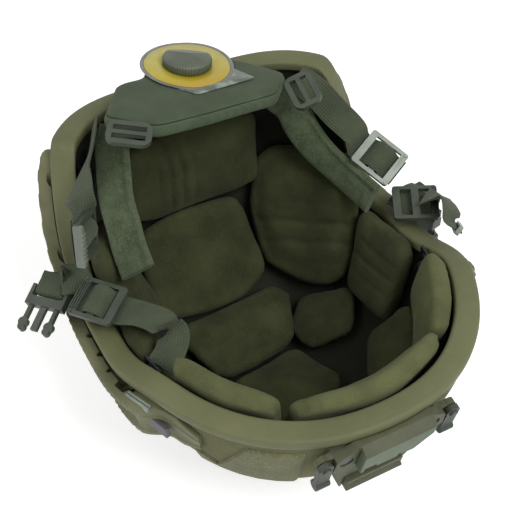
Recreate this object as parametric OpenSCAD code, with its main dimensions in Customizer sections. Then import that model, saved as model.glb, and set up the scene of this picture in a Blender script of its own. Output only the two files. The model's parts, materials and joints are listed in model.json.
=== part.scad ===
// Combat helmet, lying on its crown with the opening upwards.
// The front of the helmet is towards -Y and the wearer's right is towards +X.
// The origin is the middle of the small flat on the crown patch, where the helmet rests.
// Azimuths are counted from the brow (0) over the wearer's right (90) to the nape (180).

/* [Shell] */
// Length of the shell's outer skin, brow to nape
shell_length = 274; // [262:1:286]
// Width of the shell's outer skin
shell_width = 230; // [222:1:238]
// Height from the skin at the crown up to the level where the bowl is widest
bowl_height = 143; // [137:1:149]
// Thickness of the moulded shell
shell_wall = 9; // [8:0.5:10]
// Roundness of the side profile, where 2 is an ellipse
bowl_power = 2.13; // [2.05:0.01:2.25]
// Squareness of the front half of the plan, where 2 is an ellipse
front_power = 2.2; // [2.1:0.05:2.4]
// Squareness of the rear half of the plan
rear_power = 2.8; // [2.6:0.1:3.0]
// Extra width of the rear half as a part of the whole
rear_swell = 0.02; // [0:0.01:0.04]

/* [Rim] */
// Distance of the brow's rim below the level where the bowl is widest
brow_cut = 7; // [3:1:11]
// Distance of the temples' rim below the same level
temple_cut = 9; // [5:1:13]
// Depth of the ear cuts below the same level
ear_cut = 34; // [30:1:38]
// Rise of the lobes behind the ears above the same level
lobe_rise = 45; // [41:1:49]
// Rise of the rim at the middle of the nape above the same level
nape_rise = 38; // [34:1:42]
// Azimuth where the temple turns down to the ear cut
temple_at = 55; // [52:1:58]
// Azimuth where the ear cut's flat starts
ear_from = 92; // [88:1:96]
// Azimuth where the ear cut's flat ends
ear_to = 118; // [114:1:120]
// Azimuth of the lobe's highest point
lobe_at = 138; // [135:1:141]

/* [Edge trim] */
// Width of the rubber edge band, seen from above
trim_width = 14.8; // [14:0.2:16]
// How far the band stands out from the shell's skin
trim_out = 3.2; // [2.6:0.2:3.6]
// Rubber above the shell's edge
trim_top = 3.2; // [2.6:0.2:4]
// Length of the band's outer leg
trim_leg = 10; // [8:0.5:11]
// Length of the band's inner leg
trim_inner_leg = 8; // [7:0.5:9]

/* [Loop panels] */
// Thickness of the hook-and-loop panels on the skin
loop_t = 1.6; // [1.2:0.2:2]
// Radius of the round crown patch
crown_patch_r = 38; // [34:1:42]
// Height of the lower edge of the two front panels
front_loop_foot = 52; // [48:1:58]
// Height of the upper edge of the two front panels
front_loop_head = 118; // [116:1:120]
// Half width of the rear panel, in degrees of azimuth
rear_loop_half = 26; // [22:1:30]

/* [Side rails] */
// Thickness of a rail at its middle
rail_t = 12; // [11:0.5:13]
// Thickness of a rail at its front end
rail_end_t = 6; // [5:0.5:7]
// Height of a rail
rail_h = 32; // [29:1:34]
// Distance from the top of the rim down to a rail's top edge
rail_drop = 12; // [12:0.5:13]
// Azimuth of a rail's front end
rail_from = 46; // [44:1:48]
// Azimuth of a rail's rear end
rail_to = 143; // [141:1:145]
// Radius of the small notches along a rail's top edge
notch_r = 1.7; // [1.4:0.1:2]
// Number of notches along a rail
notch_count = 9; // [7:1:10]

/* [Fasteners] */
// Radius of a bolt's shank
bolt_r = 2.5; // [2.2:0.1:2.8]
// Radius of a bolt's head
bolt_head_r = 5.5; // [5:0.1:6]
// Distance of the chin strap bolts below the top of the rim
bolt_drop = 19; // [18:0.5:21]
// Azimuth of the front chin strap bolts
front_bolt_at = 71; // [70:1:73]
// Azimuth of the rear chin strap bolts
rear_bolt_at = 139; // [138:0.5:140]
// Distance of the rear bolts below the top of the rim
rear_bolt_drop = 33; // [31:0.5:34]

/* [Front shroud] */
// Width of the shroud plate across its wings
shroud_w = 70; // [68:1:72]
// Height of the shroud plate
shroud_h = 48; // [46:1:50]
// Distance of the plate's top edge below the brow's rim
shroud_drop = 6.6; // [6:0.2:7]
// How far the plate's top edge stands in front of the shell
shroud_out = 6; // [5.5:0.25:7]
// Lean of the plate, bottom edge inwards
shroud_tilt = 10; // [8:1:12]

/* [Pads] */
// Thickness of an inner pad at its middle
pad_t = 19; // [17:0.5:20]
// Thickness of a brow pad at its middle
brow_pad_t = 15; // [13:0.5:16]
// How far the sides of a pad draw in between its corners
pad_pull = 0.05; // [0.03:0.01:0.08]
// Thickness of the hook discs that hold the pads
disc_t = 2.1; // [1.9:0.1:2.2]
// Thickness of the plastic fit band
band_t = 0.9; // [0.7:0.1:1.1]
// Height of the fit band
band_h = 28; // [24:1:30]

/* [Nape and dial] */
// Length of the nape pad between its two loops
nape_w = 129; // [125:1:133]
// Depth of the nape pad, from the rim in over the opening
nape_h = 62; // [60:1:64]
// Thickness of the nape pad at its edge
nape_t = 12; // [11:0.5:13]
// How far the pad's underside bulges
nape_crown = 3; // [2:0.5:4]
// Radius of the dial knob
knob_r = 16; // [15:0.5:16.5]
// Height of the knob's knurled side
knob_h = 5.6; // [5:0.2:6.4]
// Radius of the round card under the knob
label_r = 30.5; // [29:0.5:31]
// Pitch radius of the dial's pinion
pinion_r = 3.2; // [3:0.1:3.4]

/* [Straps] */
// Width of the chin strap webbing
strap_w = 20; // [19:0.5:21]
// Thickness of the webbing
strap_t = 1.6; // [1.4:0.1:1.7]
// Width of the fleece neck pads
neck_w = 23; // [21:1:25]
// Thickness of the fleece neck pads
neck_t = 5; // [4:0.5:5.5]
// Length of a ladder lock
ladder_len = 30; // [29:0.5:32]
// Thickness of a ladder lock
ladder_t = 3.2; // [3:0.1:3.4]

/* [Hidden] */

olive = "#6b6e4d";
skin_olive = "#6a6a4e";
loop_olive = "#787a5c";
pad_green = "#3c3f2b";
brow_green = "#55593a";
fleece_green = "#5f6e4c";
nape_green = "#56624b";
web_green = "#4d4f3a";
clip_green = "#5c655b";
pale_clip = "#9aa092";
steel_black = "#26282a";

half_l = shell_length / 2;
half_w = shell_width / 2;
// The crown patch lifts the skin off the table by its own thickness
crown_z = loop_t;
dome_z = crown_z + bowl_height;
// Heights of the rim above the crown's skin
brow_height = bowl_height - brow_cut;
temple_height = bowl_height - temple_cut;
ear_height = bowl_height - ear_cut;
lobe_height = bowl_height + lobe_rise;
nape_height = bowl_height + nape_rise;
shroud_head = brow_height - shroud_drop;
fit_gap = 0.3;
bore_gap = 0.3;
shell_stations = 72;
trim_stations = 72;
rail_stations = 44;
pad_spokes = 24;

// Sizes of the helmet for which the places of the soft straps were chosen
ref_half_l = 137;
ref_half_w = 115;

function unit(v) = v / norm(v);
function ease(t) = (1 - cos(180 * min(1, max(0, t)))) / 2;
function lerp(a, b, t) = a + (b - a) * t;
// The azimuth folded to 0 at the brow and 180 at the nape
function fold(a) = abs(((a + 180) % 360 + 360) % 360 - 180);
function plan_power(a) = cos(a) > 0 ? front_power : rear_power;

// Radius of the plan at an azimuth, on the layer that lies the depth d inside the skin
function plan_r(a, d) = let (
    n = plan_power(a),
    w = half_w * (1 - rear_swell * cos(a)) - d,
    l = half_l - d
) pow(pow(abs(sin(a)) / w, n) + pow(abs(cos(a)) / l, n), -1 / n);

// A point of a layer, by azimuth and by tilt from straight down at the bowl's centre
function bowl(a, t, d) = let (
    q = sin(t) / plan_r(a, d),
    v = max(0, cos(t)) / (bowl_height - d),
    r = pow(pow(q, bowl_power) + pow(v, bowl_power), -1 / bowl_power)
) [r * sin(a) * sin(t), -r * cos(a) * sin(t), dome_z - r * cos(t)];

// Radius and point of a layer, by azimuth and height
function wall_r(a, z, d) = let (
    c = min(1, max(0, dome_z - z) / (bowl_height - d))
) plan_r(a, d) * pow(1 - pow(c, bowl_power), 1 / bowl_power);
function wall(a, z, d) = let (r = wall_r(a, z, d)) [r * sin(a), -r * cos(a), z];
function tilt_to(a, z, d) = atan2(wall_r(a, z, d), dome_z - z);

// Heading of the outward normal of the plan at an azimuth
function heading(a) = let (
    n = plan_power(a),
    gx = sign(sin(a)) * pow(abs(sin(a)), n - 1) / pow(half_w, n),
    gy = -sign(cos(a)) * pow(abs(cos(a)), n - 1) / pow(half_l, n)
) atan2(gy, gx);

// Height of the top of the rim at an azimuth
function rim_z(a) = let (t = fold(a)) crown_z + brow_height
    + (temple_height - brow_height) * ease(t / temple_at)
    + (ear_height - temple_height) * ease((t - temple_at) / (ear_from - temple_at))
    + (lobe_height - ear_height) * ease((t - ear_to) / (lobe_at - ear_to))
    + (nape_height - lobe_height) * ease((t - lobe_at) / (180 - lobe_at));

// A place chosen on the reference helmet and moved with the size of this one. Its height is counted
// from the rim, in the ear cuts or at the nape.
function near(p, rim_height) = [
    p.x * half_w / ref_half_w,
    p.y * half_l / ref_half_l,
    p.z + crown_z + rim_height
];
function near_rim(p) = near(p, ear_height);
function near_nape(p) = near(p, nape_height);

// Faces between rings of m points, where ring k runs into ring k + 1
function ring_faces(m, n, first) = [
    for (k = [0:n - 2], i = [0:m - 1], h = [0, 1])
        let (
            a = first + k * m + i,
            b = first + k * m + (i + 1) % m,
            c = a + m,
            e = b + m
        ) h == 0 ? [a, c, b] : [b, c, e]
];

// A closed solid from a first point over rings to a last point
module spindle(first, rings, last) {
    m = len(rings[0]);
    n = len(rings);
    top = 1 + n * m;
    polyhedron(
        concat([first], [for (r = rings, p = r) p], [last]),
        concat(
            [for (i = [0:m - 1]) [0, 1 + i, 1 + (i + 1) % m]],
            ring_faces(m, n, 1),
            [for (i = [0:m - 1]) [top, top - m + (i + 1) % m, top - m + i]]
        ),
        convexity = 8
    );
}

// A solid swept over sections that lie one behind the other, with flat ends
module sweep(rows) {
    m = len(rows[0]);
    n = len(rows);
    polyhedron(
        [for (r = rows, p = r) p],
        concat(
            [[for (i = [0:m - 1]) i]],
            ring_faces(m, n, 0),
            [[for (i = [m - 1:-1:0]) (n - 1) * m + i]]
        ),
        convexity = 8
    );
}

// A closed ring swept over sections, the last running into the first
module hoop(rows) {
    m = len(rows[0]);
    n = len(rows);
    polyhedron(
        [for (r = rows, p = r) p],
        [for (k = [0:n - 1], i = [0:m - 1], h = [0, 1])
            let (
                a = k * m + i,
                b = k * m + (i + 1) % m,
                c = ((k + 1) % n) * m + i,
                e = ((k + 1) % n) * m + (i + 1) % m
            ) h == 0 ? [a, c, b] : [b, c, e]],
        convexity = 8
    );
}

// A cross-section of a strip on the bowl: down its outer face, then up its inner face
function strip(a, z_top, z_foot, d_out, d_in, steps) = concat(
    [for (j = [0:steps]) wall(a, lerp(z_top, z_foot, j / steps), d_out)],
    [for (j = [0:steps]) wall(a, lerp(z_foot, z_top, j / steps), d_in)]
);

// Places children at a point with their X axis along x and their Z axis near z
module posed(o, x, z) {
    ux = unit(x);
    uy = unit(cross(z, ux));
    uz = cross(ux, uy);
    multmatrix([
        [ux.x, uy.x, uz.x, o.x],
        [ux.y, uy.y, uz.y, o.y],
        [ux.z, uy.z, uz.z, o.z],
        [0, 0, 0, 1]
    ]) children();
}
function in_pose(o, x, z, p) = let (
    ux = unit(x),
    uy = unit(cross(z, ux)),
    uz = cross(ux, uy)
) o + ux * p.x + uy * p.y + uz * p.z;

// Places children on a layer of the wall with their Z axis along the outward normal
module on_wall(a, z, d) {
    translate(wall(a, z, d)) rotate([0, 90, heading(a)]) children();
}

// A flat plate outline with round corners
module round_rect(w, h, r) {
    square([w - 2 * r, h], center = true);
    square([w, h - 2 * r], center = true);
    for (x = [-1, 1], y = [-1, 1])
        translate([x * (w / 2 - r), y * (h / 2 - r)]) circle(r, $fn = 24);
}

// The shell and its edge
function shell_edge(a) = rim_z(a) - trim_top;
module shell() {
    rows = 14;
    step = 360 / shell_stations;
    function ring(k, d) = [for (i = [0:shell_stations - 1])
        let (a = i * step) bowl(a, tilt_to(a, shell_edge(a), d) * k / rows, d)];
    color(skin_olive) difference() {
        spindle(
            [0, 0, crown_z],
            concat([for (k = [1:rows]) ring(k, 0)], [for (k = [rows:-1:1]) ring(k, shell_wall)]),
            [0, 0, crown_z + shell_wall]
        );
        bolt_axes() cylinder(r = bolt_r + bore_gap, h = 40, center = true, $fn = 32);
        shroud_screw_axes() cylinder(r = screw_r + bore_gap, h = 40, center = true, $fn = 32);
    }
}

module edge_trim() {
    inner = trim_width - trim_out;
    soft = 2.4;
    lip = 1.2;
    slack = 0.15;
    inner_slack = 0.45;
    color(olive) hoop([for (i = [0:trim_stations - 1]) let (
        a = i * 360 / trim_stations,
        top = rim_z(a),
        bed = shell_edge(a) + slack,
        foot = top - trim_leg,
        inner_foot = top - trim_inner_leg
    ) [
        wall(a, top, soft - trim_out),
        wall(a, top - soft, -trim_out),
        wall(a, foot, -lip),
        wall(a, foot, -slack),
        wall(a, bed, -slack),
        wall(a, bed, shell_wall + inner_slack),
        wall(a, inner_foot, shell_wall + inner_slack),
        wall(a, inner_foot, inner - 0.8),
        wall(a, top - soft, inner),
        wall(a, top, inner - soft)
    ]]);
}

// Hook-and-loop panels on the skin
module loop_crown() {
    patch_tilt = crown_patch_r / bowl_height * 57.3;
    above = 2 * crown_patch_r + 10;
    spokes = 30;
    // The pile is pressed flat where the helmet stands on it
    pressed = 0.6;
    function ring(f, d) = [for (i = [0:spokes - 1]) bowl(i * 360 / spokes, patch_tilt * f, d)];
    color(loop_olive) intersection() {
        spindle(
            [0, 0, crown_z - loop_t - pressed],
            concat([for (f = [0.15, 0.45, 0.62, 0.8, 1]) ring(f, -loop_t - pressed)],
                [for (f = [1, 0.75, 0.5, 0.25]) ring(f, -0.1)]),
            [0, 0, crown_z - 0.1]
        );
        translate([0, 0, above / 2]) cube(above, center = true);
    }
}

// Upper edge of a front panel: level at the brow, cut in a V beside the rail
function front_loop_top(t) = crown_z + (t < 34
    ? front_loop_head
    : t < 43 ? lerp(front_loop_head, 76, (t - 34) / 9) : lerp(76, 104, (t - 43) / 12));
module loop_fronts() {
    loop_from = 20;
    loop_to = 50;
    steps = 15;
    color(loop_olive) for (side = [-1, 1]) sweep([for (i = [0:steps]) let (
        t = side < 0 ? lerp(loop_to, loop_from, i / steps) : lerp(loop_from, loop_to, i / steps)
    ) strip(side * t, min(front_loop_top(t), rim_z(t) - trim_leg - 1), front_loop_foot,
        -loop_t, -0.2, 5)]);
}
module loop_rear() {
    steps = 12;
    color(loop_olive) sweep([for (i = [0:steps]) let (
        a = lerp(180 - rear_loop_half, 180 + rear_loop_half, i / steps)
    ) strip(a, 150, 92, -loop_t, -0.2, 5)]);
}

// Side rails with a channel along them and notches in their top edge
function rail_top(t) = rim_z(t) - rail_drop;
function rail_depth(t) = lerp(rail_end_t, rail_t, ease((t - 56) / 14) * ease((rail_to + 4 - t) / 16));
module rail_right() {
    channel = 3.5;
    tooth = 1;
    // The inner face is a little hollow, so its points never fall in line
    arch = 0.06;
    color(olive) difference() {
        sweep([for (i = [0:rail_stations]) let (
            a = lerp(rail_from, rail_to, i / rail_stations),
            ends = min(1, (a - rail_from + 4) / 10, (rail_to - a + 3) / 9),
            mid = rail_top(a) - rail_h / 2,
            top = mid + rail_h / 2 * ends,
            foot = mid - rail_h / 2 * ends,
            out = rail_depth(a) + (i % 2) * tooth * ease((a - 62) / 8),
            dip = rail_depth(a) - channel * ease((a - 60) / 10)
        ) [
            wall(a, top, -fit_gap),
            wall(a, top, 1.5 - out),
            wall(a, top - 1.5, -out),
            wall(a, lerp(top, mid, 0.45), -out),
            wall(a, lerp(top, mid, 0.6), -dip),
            wall(a, lerp(foot, mid, 0.6), -dip),
            wall(a, lerp(foot, mid, 0.45), -out),
            wall(a, foot + 1.5, -out),
            wall(a, foot, 1.5 - out),
            wall(a, foot, -fit_gap),
            wall(a, lerp(foot, top, 1 / 3), -fit_gap - arch),
            wall(a, lerp(foot, top, 2 / 3), -fit_gap - arch)
        ]]);
        for (k = [0:notch_count - 1]) let (a = lerp(78, 134, k / (notch_count - 1)))
            on_wall(a, rail_top(a) - 1, 0) cylinder(r = notch_r, h = 60, center = true, $fn = 20);
        for (a = [front_bolt_at, rear_bolt_at]) on_wall(a, bolt_z(a), 0) {
            cylinder(r = bolt_r + bore_gap, h = 60, center = true, $fn = 32);
            translate([0, 0, nut_seat]) cylinder(r = nut_r + bore_gap, h = 30, $fn = 32);
        }
        on_wall(insert_at, rail_top(insert_at) - insert_drop, -rail_depth(insert_at))
            cube([insert_h + 2 * fit_gap, insert_len + 2 * fit_gap, 2 * insert_t], center = true);
    }
}
module rail_left() {
    mirror([1, 0, 0]) rail_right();
}
insert_at = 60;
insert_drop = 13;
insert_h = 8;
insert_len = 24;
insert_t = 3;
module rail_inserts() {
    color(pale_clip) for (side = [-1, 1])
        on_wall(side * insert_at, rail_top(insert_at) - insert_drop, rail_depth(insert_at) * -1)
            translate([0, 0, 0.4 - insert_t / 2])
                cube([insert_h, insert_len, insert_t], center = true);
}

// Chin strap bolts through the shell, with what they clamp
function bolt_z(t) = rim_z(t) - (t > 90 ? rear_bolt_drop : bolt_drop);
nut_r = 4.6;
nut_h = 3;
nut_seat = 2.6;
anchor_t = 1.6;
anchor_seat = trim_width - trim_out + 0.5;
washer_t = 1;
washer_r = 7.5;
head_t = 2.6;
module bolt_axes() {
    for (side = [-1, 1], t = [front_bolt_at, rear_bolt_at])
        on_wall(side * t, bolt_z(t), 0) children();
}
module strap_bolts() {
    tab_in = anchor_seat + anchor_t + washer_t;
    color(steel_black) bolt_axes() {
        translate([0, 0, -tab_in]) cylinder(r = bolt_r, h = tab_in + nut_seat + nut_h - 0.2, $fn = 32);
        translate([0, 0, -tab_in - head_t]) difference() {
            cylinder(r = bolt_head_r, h = head_t, $fn = 40);
            translate([0, 0, -1]) cylinder(r = 1.8, h = 2.4, $fn = 24);
        }
    }
}
module strap_washers() {
    seat = anchor_seat + anchor_t;
    color(steel_black) bolt_axes() translate([0, 0, -seat - washer_t]) difference() {
        cylinder(r = washer_r, h = washer_t, $fn = 40);
        translate([0, 0, -1]) cylinder(r = bolt_r + bore_gap / 2, h = washer_t + 2, $fn = 32);
    }
}
module strap_anchors() {
    tab_w = 16;
    tab_up = 17;
    bush_h = anchor_seat - shell_wall - 1.3;
    color(steel_black) bolt_axes() translate([0, 0, -anchor_seat - anchor_t]) difference() {
        union() {
            cylinder(r = tab_w / 2, h = anchor_t, $fn = 40);
            translate([-tab_up, -tab_w / 2, 0]) cube([tab_up, tab_w, anchor_t]);
            cylinder(r = 5, h = anchor_t + bush_h, $fn = 40);
        }
        translate([0, 0, -1]) cylinder(r = bolt_r + bore_gap / 2, h = anchor_seat, $fn = 32);
        translate([-tab_up + 3.5, 0, anchor_t / 2]) cube([3, tab_w - 5, anchor_t + 2], center = true);
    }
}
module wall_nuts() {
    color(steel_black) {
        bolt_axes() translate([0, 0, nut_seat]) difference() {
            cylinder(r = nut_r, h = nut_h, $fn = 6);
            translate([0, 0, -1]) cylinder(r = bolt_r + bore_gap / 2, h = nut_h + 2, $fn = 32);
        }
        for (p = screw_places) screw_axis(p) translate([0, 0, -screw_end(p)]) difference() {
            cylinder(r = screw_nut_r, h = screw_nut_t, $fn = 32);
            translate([0, 0, -1]) cylinder(r = screw_r + bore_gap / 2, h = 4, $fn = 32);
        }
    }
}

// Front shroud: plate, cover block, latch bar, screws and cord hooks
screw_r = 2;
screw_nut_r = 4.4;
screw_nut_t = 1;
screw_head_h = 2.2;
roof_out = 5.8;
roof_drop = 4.2;
cover_w = 46;
cover_x = 1.5;
cover_foot = 23;
latch_w = 37;
latch_x = -7;
latch_h = 10;
latch_t = 5;
latch_room = 0.3;
screw_x = 28;
screw_drop = 14;
lug_x = shroud_w / 2 + 6;
lug_drop = 12.5;
pin_r = 1.5;
// The shroud's own frame: its top edge in front, leaning back towards the bottom
module shroud_pose() {
    translate([0, -half_l - shroud_out, crown_z + shroud_head]) rotate([shroud_tilt, 0, 0]) children();
}
screw_places = [[-screw_x, -screw_drop], [screw_x, -screw_drop], [0, -cover_foot - 6]];
module screw_axis(p) {
    shroud_pose() translate([p.x, 0, p.y]) rotate([90, 0, 0]) children();
}
module shroud_screw_axes() {
    for (p = screw_places) screw_axis(p) children();
}
// Where a layer of the front lies, across and up the helmet
function front_y(x, z, d) = let (
    s = pow(1 - pow(max(0, dome_z - z) / (bowl_height - d), bowl_power), 1 / bowl_power),
    w = half_w * (1 - rear_swell) - d
) -s * (half_l - d) * pow(1 - pow(abs(x) / (w * s), front_power), 1 / front_power);
// Distance along a screw's axis from the plate's plane to a layer, closed in on step by step
function screw_reach(p, d, y, n) = n == 0 ? y : screw_reach(p, d, (half_l + shroud_out
    + p.y * sin(shroud_tilt)
    + front_y(p.x, crown_z + shroud_head + y * sin(shroud_tilt) + p.y * cos(shroud_tilt), d)
    ) / cos(shroud_tilt), n - 1);
function screw_end(p) = screw_reach(p, shell_wall + 1.3, 0, 4) + screw_nut_t;
// The skin and the trim of the front, as one solid to cut with
module front_skin() {
    steps = 14;
    half = 27;
    depth = 24;
    rows = 6;
    foot = crown_z + shroud_head - shroud_h - 10;
    sweep([for (i = [0:steps]) let (
        a = lerp(-half, half, i / steps),
        top = rim_z(a) + 2,
        ledge = rim_z(a) - trim_leg - fit_gap
    ) concat(
        [wall(a, top, -trim_out - fit_gap), wall(a, ledge, -trim_out - fit_gap)],
        [for (j = [0:rows]) wall(a, lerp(ledge, foot, j / rows), -fit_gap)],
        [wall(a, foot, depth), wall(a, top, depth)]
    )]);
}
module shroud_plate() {
    depth = 26;
    wing = shroud_w / 2;
    color(olive) difference() {
        shroud_pose() difference() {
            union() {
                translate([0, depth, 0]) rotate([90, 0, 0]) linear_extrude(depth) polygon([
                    [-cover_w / 2, 0], [cover_w / 2, 0], [wing, -9], [wing + 1, -20],
                    [wing - 10, -30], [latch_x + latch_w / 2 + 3, -shroud_h],
                    [latch_x - latch_w / 2 - 2, -shroud_h], [-wing + 6, -32],
                    [-wing - 1, -20], [-wing, -9]
                ]);
                // Roof that slopes from the top edge down to the cover
                translate([-cover_w / 2 + cover_x, 0, 0]) rotate([90, 0, 90])
                    linear_extrude(cover_w) polygon([
                        [1, 0], [0, 0], [-roof_out, -roof_drop + 1], [-roof_out, -roof_drop],
                        [1, -roof_drop]
                    ]);
                for (side = [-1, 1]) translate([side * lug_x, 8, -lug_drop]) rotate([90, 0, 0]) {
                    cylinder(r = 4.2, h = 4, $fn = 32);
                    translate([side > 0 ? -12 : 0, -3.5, 0]) cube([12, 7, 4]);
                }
            }
            // Wings fall back from the cover
            for (side = [-1, 1]) translate([side * (cover_w / 2 + 3), 0, 0])
                rotate([0, 0, side * -wing_fall]) translate([side * 15, -10, -20])
                    cube([30, 20, 60], center = true);
            translate([latch_x, 0, -shroud_h]) cube([latch_w + 1, 4, 2 * (latch_h + 3)], center = true);
            for (side = [-1, 1]) translate([side * lug_x, 0, -lug_drop]) rotate([90, 0, 0])
                cylinder(r = pin_r + bore_gap, h = 40, center = true, $fn = 32);
        }
        front_skin();
        shroud_screw_axes() {
            cylinder(r = screw_r + bore_gap, h = 60, center = true, $fn = 32);
            translate([0, 0, -screw_sink]) cylinder(r = 4.2, h = 30, $fn = 32);
        }
    }
}
wing_fall = 24;
screw_sink = 3;
module shroud_cover() {
    color(pale_clip) shroud_pose() difference() {
        translate([cover_x, -latch_room, 0]) rotate([90, 0, 0])
            linear_extrude(roof_out - latch_room) polygon([
                [-cover_w / 2, -roof_drop - 0.3], [cover_w / 2, -roof_drop - 0.3], [cover_w / 2, -12],
                [cover_w / 2 - 11, -cover_foot], [-cover_w / 2, -cover_foot]
            ]);
        translate([-15, -roof_out / 2, -cover_foot]) cube([8, roof_out + 2, 6], center = true);
        translate([5, -roof_out / 2, -cover_foot]) cube([5, roof_out + 2, 5], center = true);
    }
}
module shroud_latch() {
    lip_r = 1.6;
    color(olive) shroud_pose() translate([latch_x, 0, -shroud_h + latch_h / 2 + 1]) difference() {
        union() {
            translate([0, 1.8 - latch_t / 2, 0]) cube([latch_w, latch_t, latch_h], center = true);
            translate([0, 1.8 - latch_t, lip_r - latch_h / 2]) rotate([0, 90, 0])
                cylinder(r = lip_r, h = latch_w, center = true, $fn = 32);
        }
        translate([0, 1.8 - latch_t, 0.8]) cube([latch_w - 6, 1.6, 1.2], center = true);
    }
}
module shroud_screws() {
    color(steel_black) for (p = screw_places) screw_axis(p) {
        translate([0, 0, -screw_end(p)])
            cylinder(r = screw_r, h = screw_end(p) - screw_sink + 0.5, $fn = 32);
        translate([0, 0, -screw_sink + 0.1]) cylinder(r = 3.8, h = screw_head_h, $fn = 32);
    }
}
module cord_hook(side) {
    body_h = 19;
    body_w = 9;
    color("#48503f") shroud_pose() translate([side * lug_x, 8, -lug_drop]) rotate([90, 0, 0]) {
        translate([0, 0, -1]) cylinder(r = pin_r, h = 9, $fn = 32);
        translate([0, 0, 4.4]) {
            cylinder(r = 4.6, h = 3.6, $fn = 32);
            translate([-body_w / 2, -body_h, 0]) cube([body_w, body_h, 3.6]);
            translate([0, -body_h, 1.8]) rotate([0, 90, 0])
                cylinder(r = 3.6, h = body_w, center = true, $fn = 32);
        }
        translate([0, 0, 7.6]) cylinder(r = 2.6, h = 1.8, $fn = 32);
    }
}
module hook_left() {
    cord_hook(-1);
}
module hook_right() {
    cord_hook(1);
}

// Fit band inside the rim, which carries the three brow pads
band_d = trim_width - trim_out + 1;
band_from = -64;
band_to = 64;
module fit_band() {
    steps = 40;
    drop = 5;
    color(steel_black) sweep([for (i = [0:steps]) let (a = lerp(band_from, band_to, i / steps))
        strip(a, rim_z(a) - drop, rim_z(a) - drop - band_h, band_d, band_d + band_t, 2)]);
}

// A pad is a cushion on a layer of the bowl, laid out round its own middle
pad_reach = 108;
function pad_spot(at, p, d) = let (
    al = (p.x * cos(at[2]) - p.y * sin(at[2])) / pad_reach * 57.3,
    be = (p.x * sin(at[2]) + p.y * cos(at[2])) / pad_reach * 57.3,
    n0 = [sin(at[0]) * sin(at[1]), -cos(at[0]) * sin(at[1]), -cos(at[1])],
    e1 = [cos(at[0]), sin(at[0]), 0],
    e2 = [sin(at[0]) * cos(at[1]), -cos(at[0]) * cos(at[1]), sin(at[1])],
    v = n0 * cos(al) * cos(be) + e1 * sin(al) + e2 * cos(al) * sin(be)
) bowl(atan2(v.x, -v.y), acos(-v.z), d);
// Edge of a pad in direction phi: rounded at its corners and drawn in along its sides
corner_power = 10;
function pad_edge(corners, phi) = let (
    dir = [cos(phi), sin(phi)],
    last = len(corners) - 1,
    pulls = [for (i = [0:last]) let (
        a = corners[i],
        b = corners[i < last ? i + 1 : 0],
        out = [b.y - a.y, a.x - b.x]
    ) max(0, (out * dir) / (out * a))],
    reach = pow([for (q = pulls) pow(q, corner_power)] * [for (q = pulls) 1], -1 / corner_power),
    at_corner = pow(2, -1 / corner_power),
    middle = (max(pulls) * reach - at_corner) / (1 - at_corner)
) dir * reach * (1 - pad_pull * max(0, middle));
// at is [azimuth, tilt, turn], and the corners go anticlockwise round the pad's middle
module cushion(at, corners, back, thick) {
    function front(rho) = back + thick * (0.42 + 0.58 * sqrt(max(0, 1 - pow(rho, 3))));
    function ring(rho, d) = [for (i = [0:pad_spokes - 1])
        pad_spot(at, rho * pad_edge(corners, i * 360 / pad_spokes), d)];
    spindle(
        pad_spot(at, [0, 0], front(0)),
        concat(
            [for (rho = [0.4, 0.66, 0.85, 0.96]) ring(rho, front(rho))],
            [ring(1, back + 0.3 * thick), ring(0.97, back + 0.1 * thick), ring(0.9, back)]
        ),
        pad_spot(at, [0, 0], back)
    );
}
// Corners of a four-sided pad, wider at its top by the taper
function four_sided(w, h, taper) = [
    [w / 2 * (1 + taper), h / 2],
    [-w / 2 * (1 + taper), h / 2],
    [-w / 2 * (1 - taper), -h / 2],
    [w / 2 * (1 - taper), -h / 2]
];
disc_lift = 0.9;
pad_back = shell_wall + disc_lift + disc_t + fit_gap;
brow_back = band_d + band_t + 0.4;

// Inner pads, each with its [azimuth, tilt, turn] and its corners
rear_at = [-178, 80, 0];
rear_corners = [[46, 29], [-46.5, 29], [-44.5, -29], [44, -30]];
upper_rear_at = [-171, 45.5, 7];
upper_rear_corners = [[39, 28], [2, 36], [-37, 34], [-42, -22], [-20, -34.5], [10, -34.5], [40, -30]];
crown_at = [-171, 15, 4];
crown_corners = [[42, 21], [-38, 21], [-44, 15], [-29, -20], [30, -23.5]];
front_crown_at = [6, 13, -4];
front_crown_corners = [[28, 22], [-27, 22], [-26, -26], [24, -26]];
front_at = [0, 39, 0];
front_corners = four_sided(64, 48, 0.06);
rear_right_at = [131, 56, -13];
rear_right_corners = [[36, 45], [-36, 45], [-35, 12], [-27, -37], [-8, -46], [10, -42], [32, -30], [43, 8]];
rear_left_at = [-127, 62, 8];
rear_left_corners = four_sided(49, 75, 0.1);
side_right_at = [89.5, 55, -8];
side_right_corners = [[35, 31], [-27, 35], [-29, -28], [18, -28]];
side_left_at = [-89, 55, 8];
side_left_corners = four_sided(54, 66, -0.02);
crown_right_at = [101, 25, 0];
crown_right_corners = [[25, 2], [-3, 31], [-22, 8], [-6, -19], [14, -18]];
front_right_at = [53, 47, 0];
front_right_corners = [[18, 21], [-21, 22], [-19, -22], [17, -22]];
front_left_at = [-52, 43, 0];
front_left_corners = four_sided(40, 47, 0.05);
low_pad_t = 13;
module inner_pad(at, corners, thick) {
    color(pad_green) cushion(at, corners, pad_back, thick);
}
module pad_rear() {
    inner_pad(rear_at, rear_corners, pad_t);
}
module pad_upper_rear() {
    inner_pad(upper_rear_at, upper_rear_corners, pad_t);
}
module pad_crown() {
    inner_pad(crown_at, crown_corners, pad_t);
}
module pad_front_crown() {
    inner_pad(front_crown_at, front_crown_corners, pad_t);
}
module pad_front() {
    inner_pad(front_at, front_corners, low_pad_t);
}
module pad_rear_right() {
    inner_pad(rear_right_at, rear_right_corners, pad_t);
}
module pad_rear_left() {
    inner_pad(rear_left_at, rear_left_corners, pad_t);
}
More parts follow.
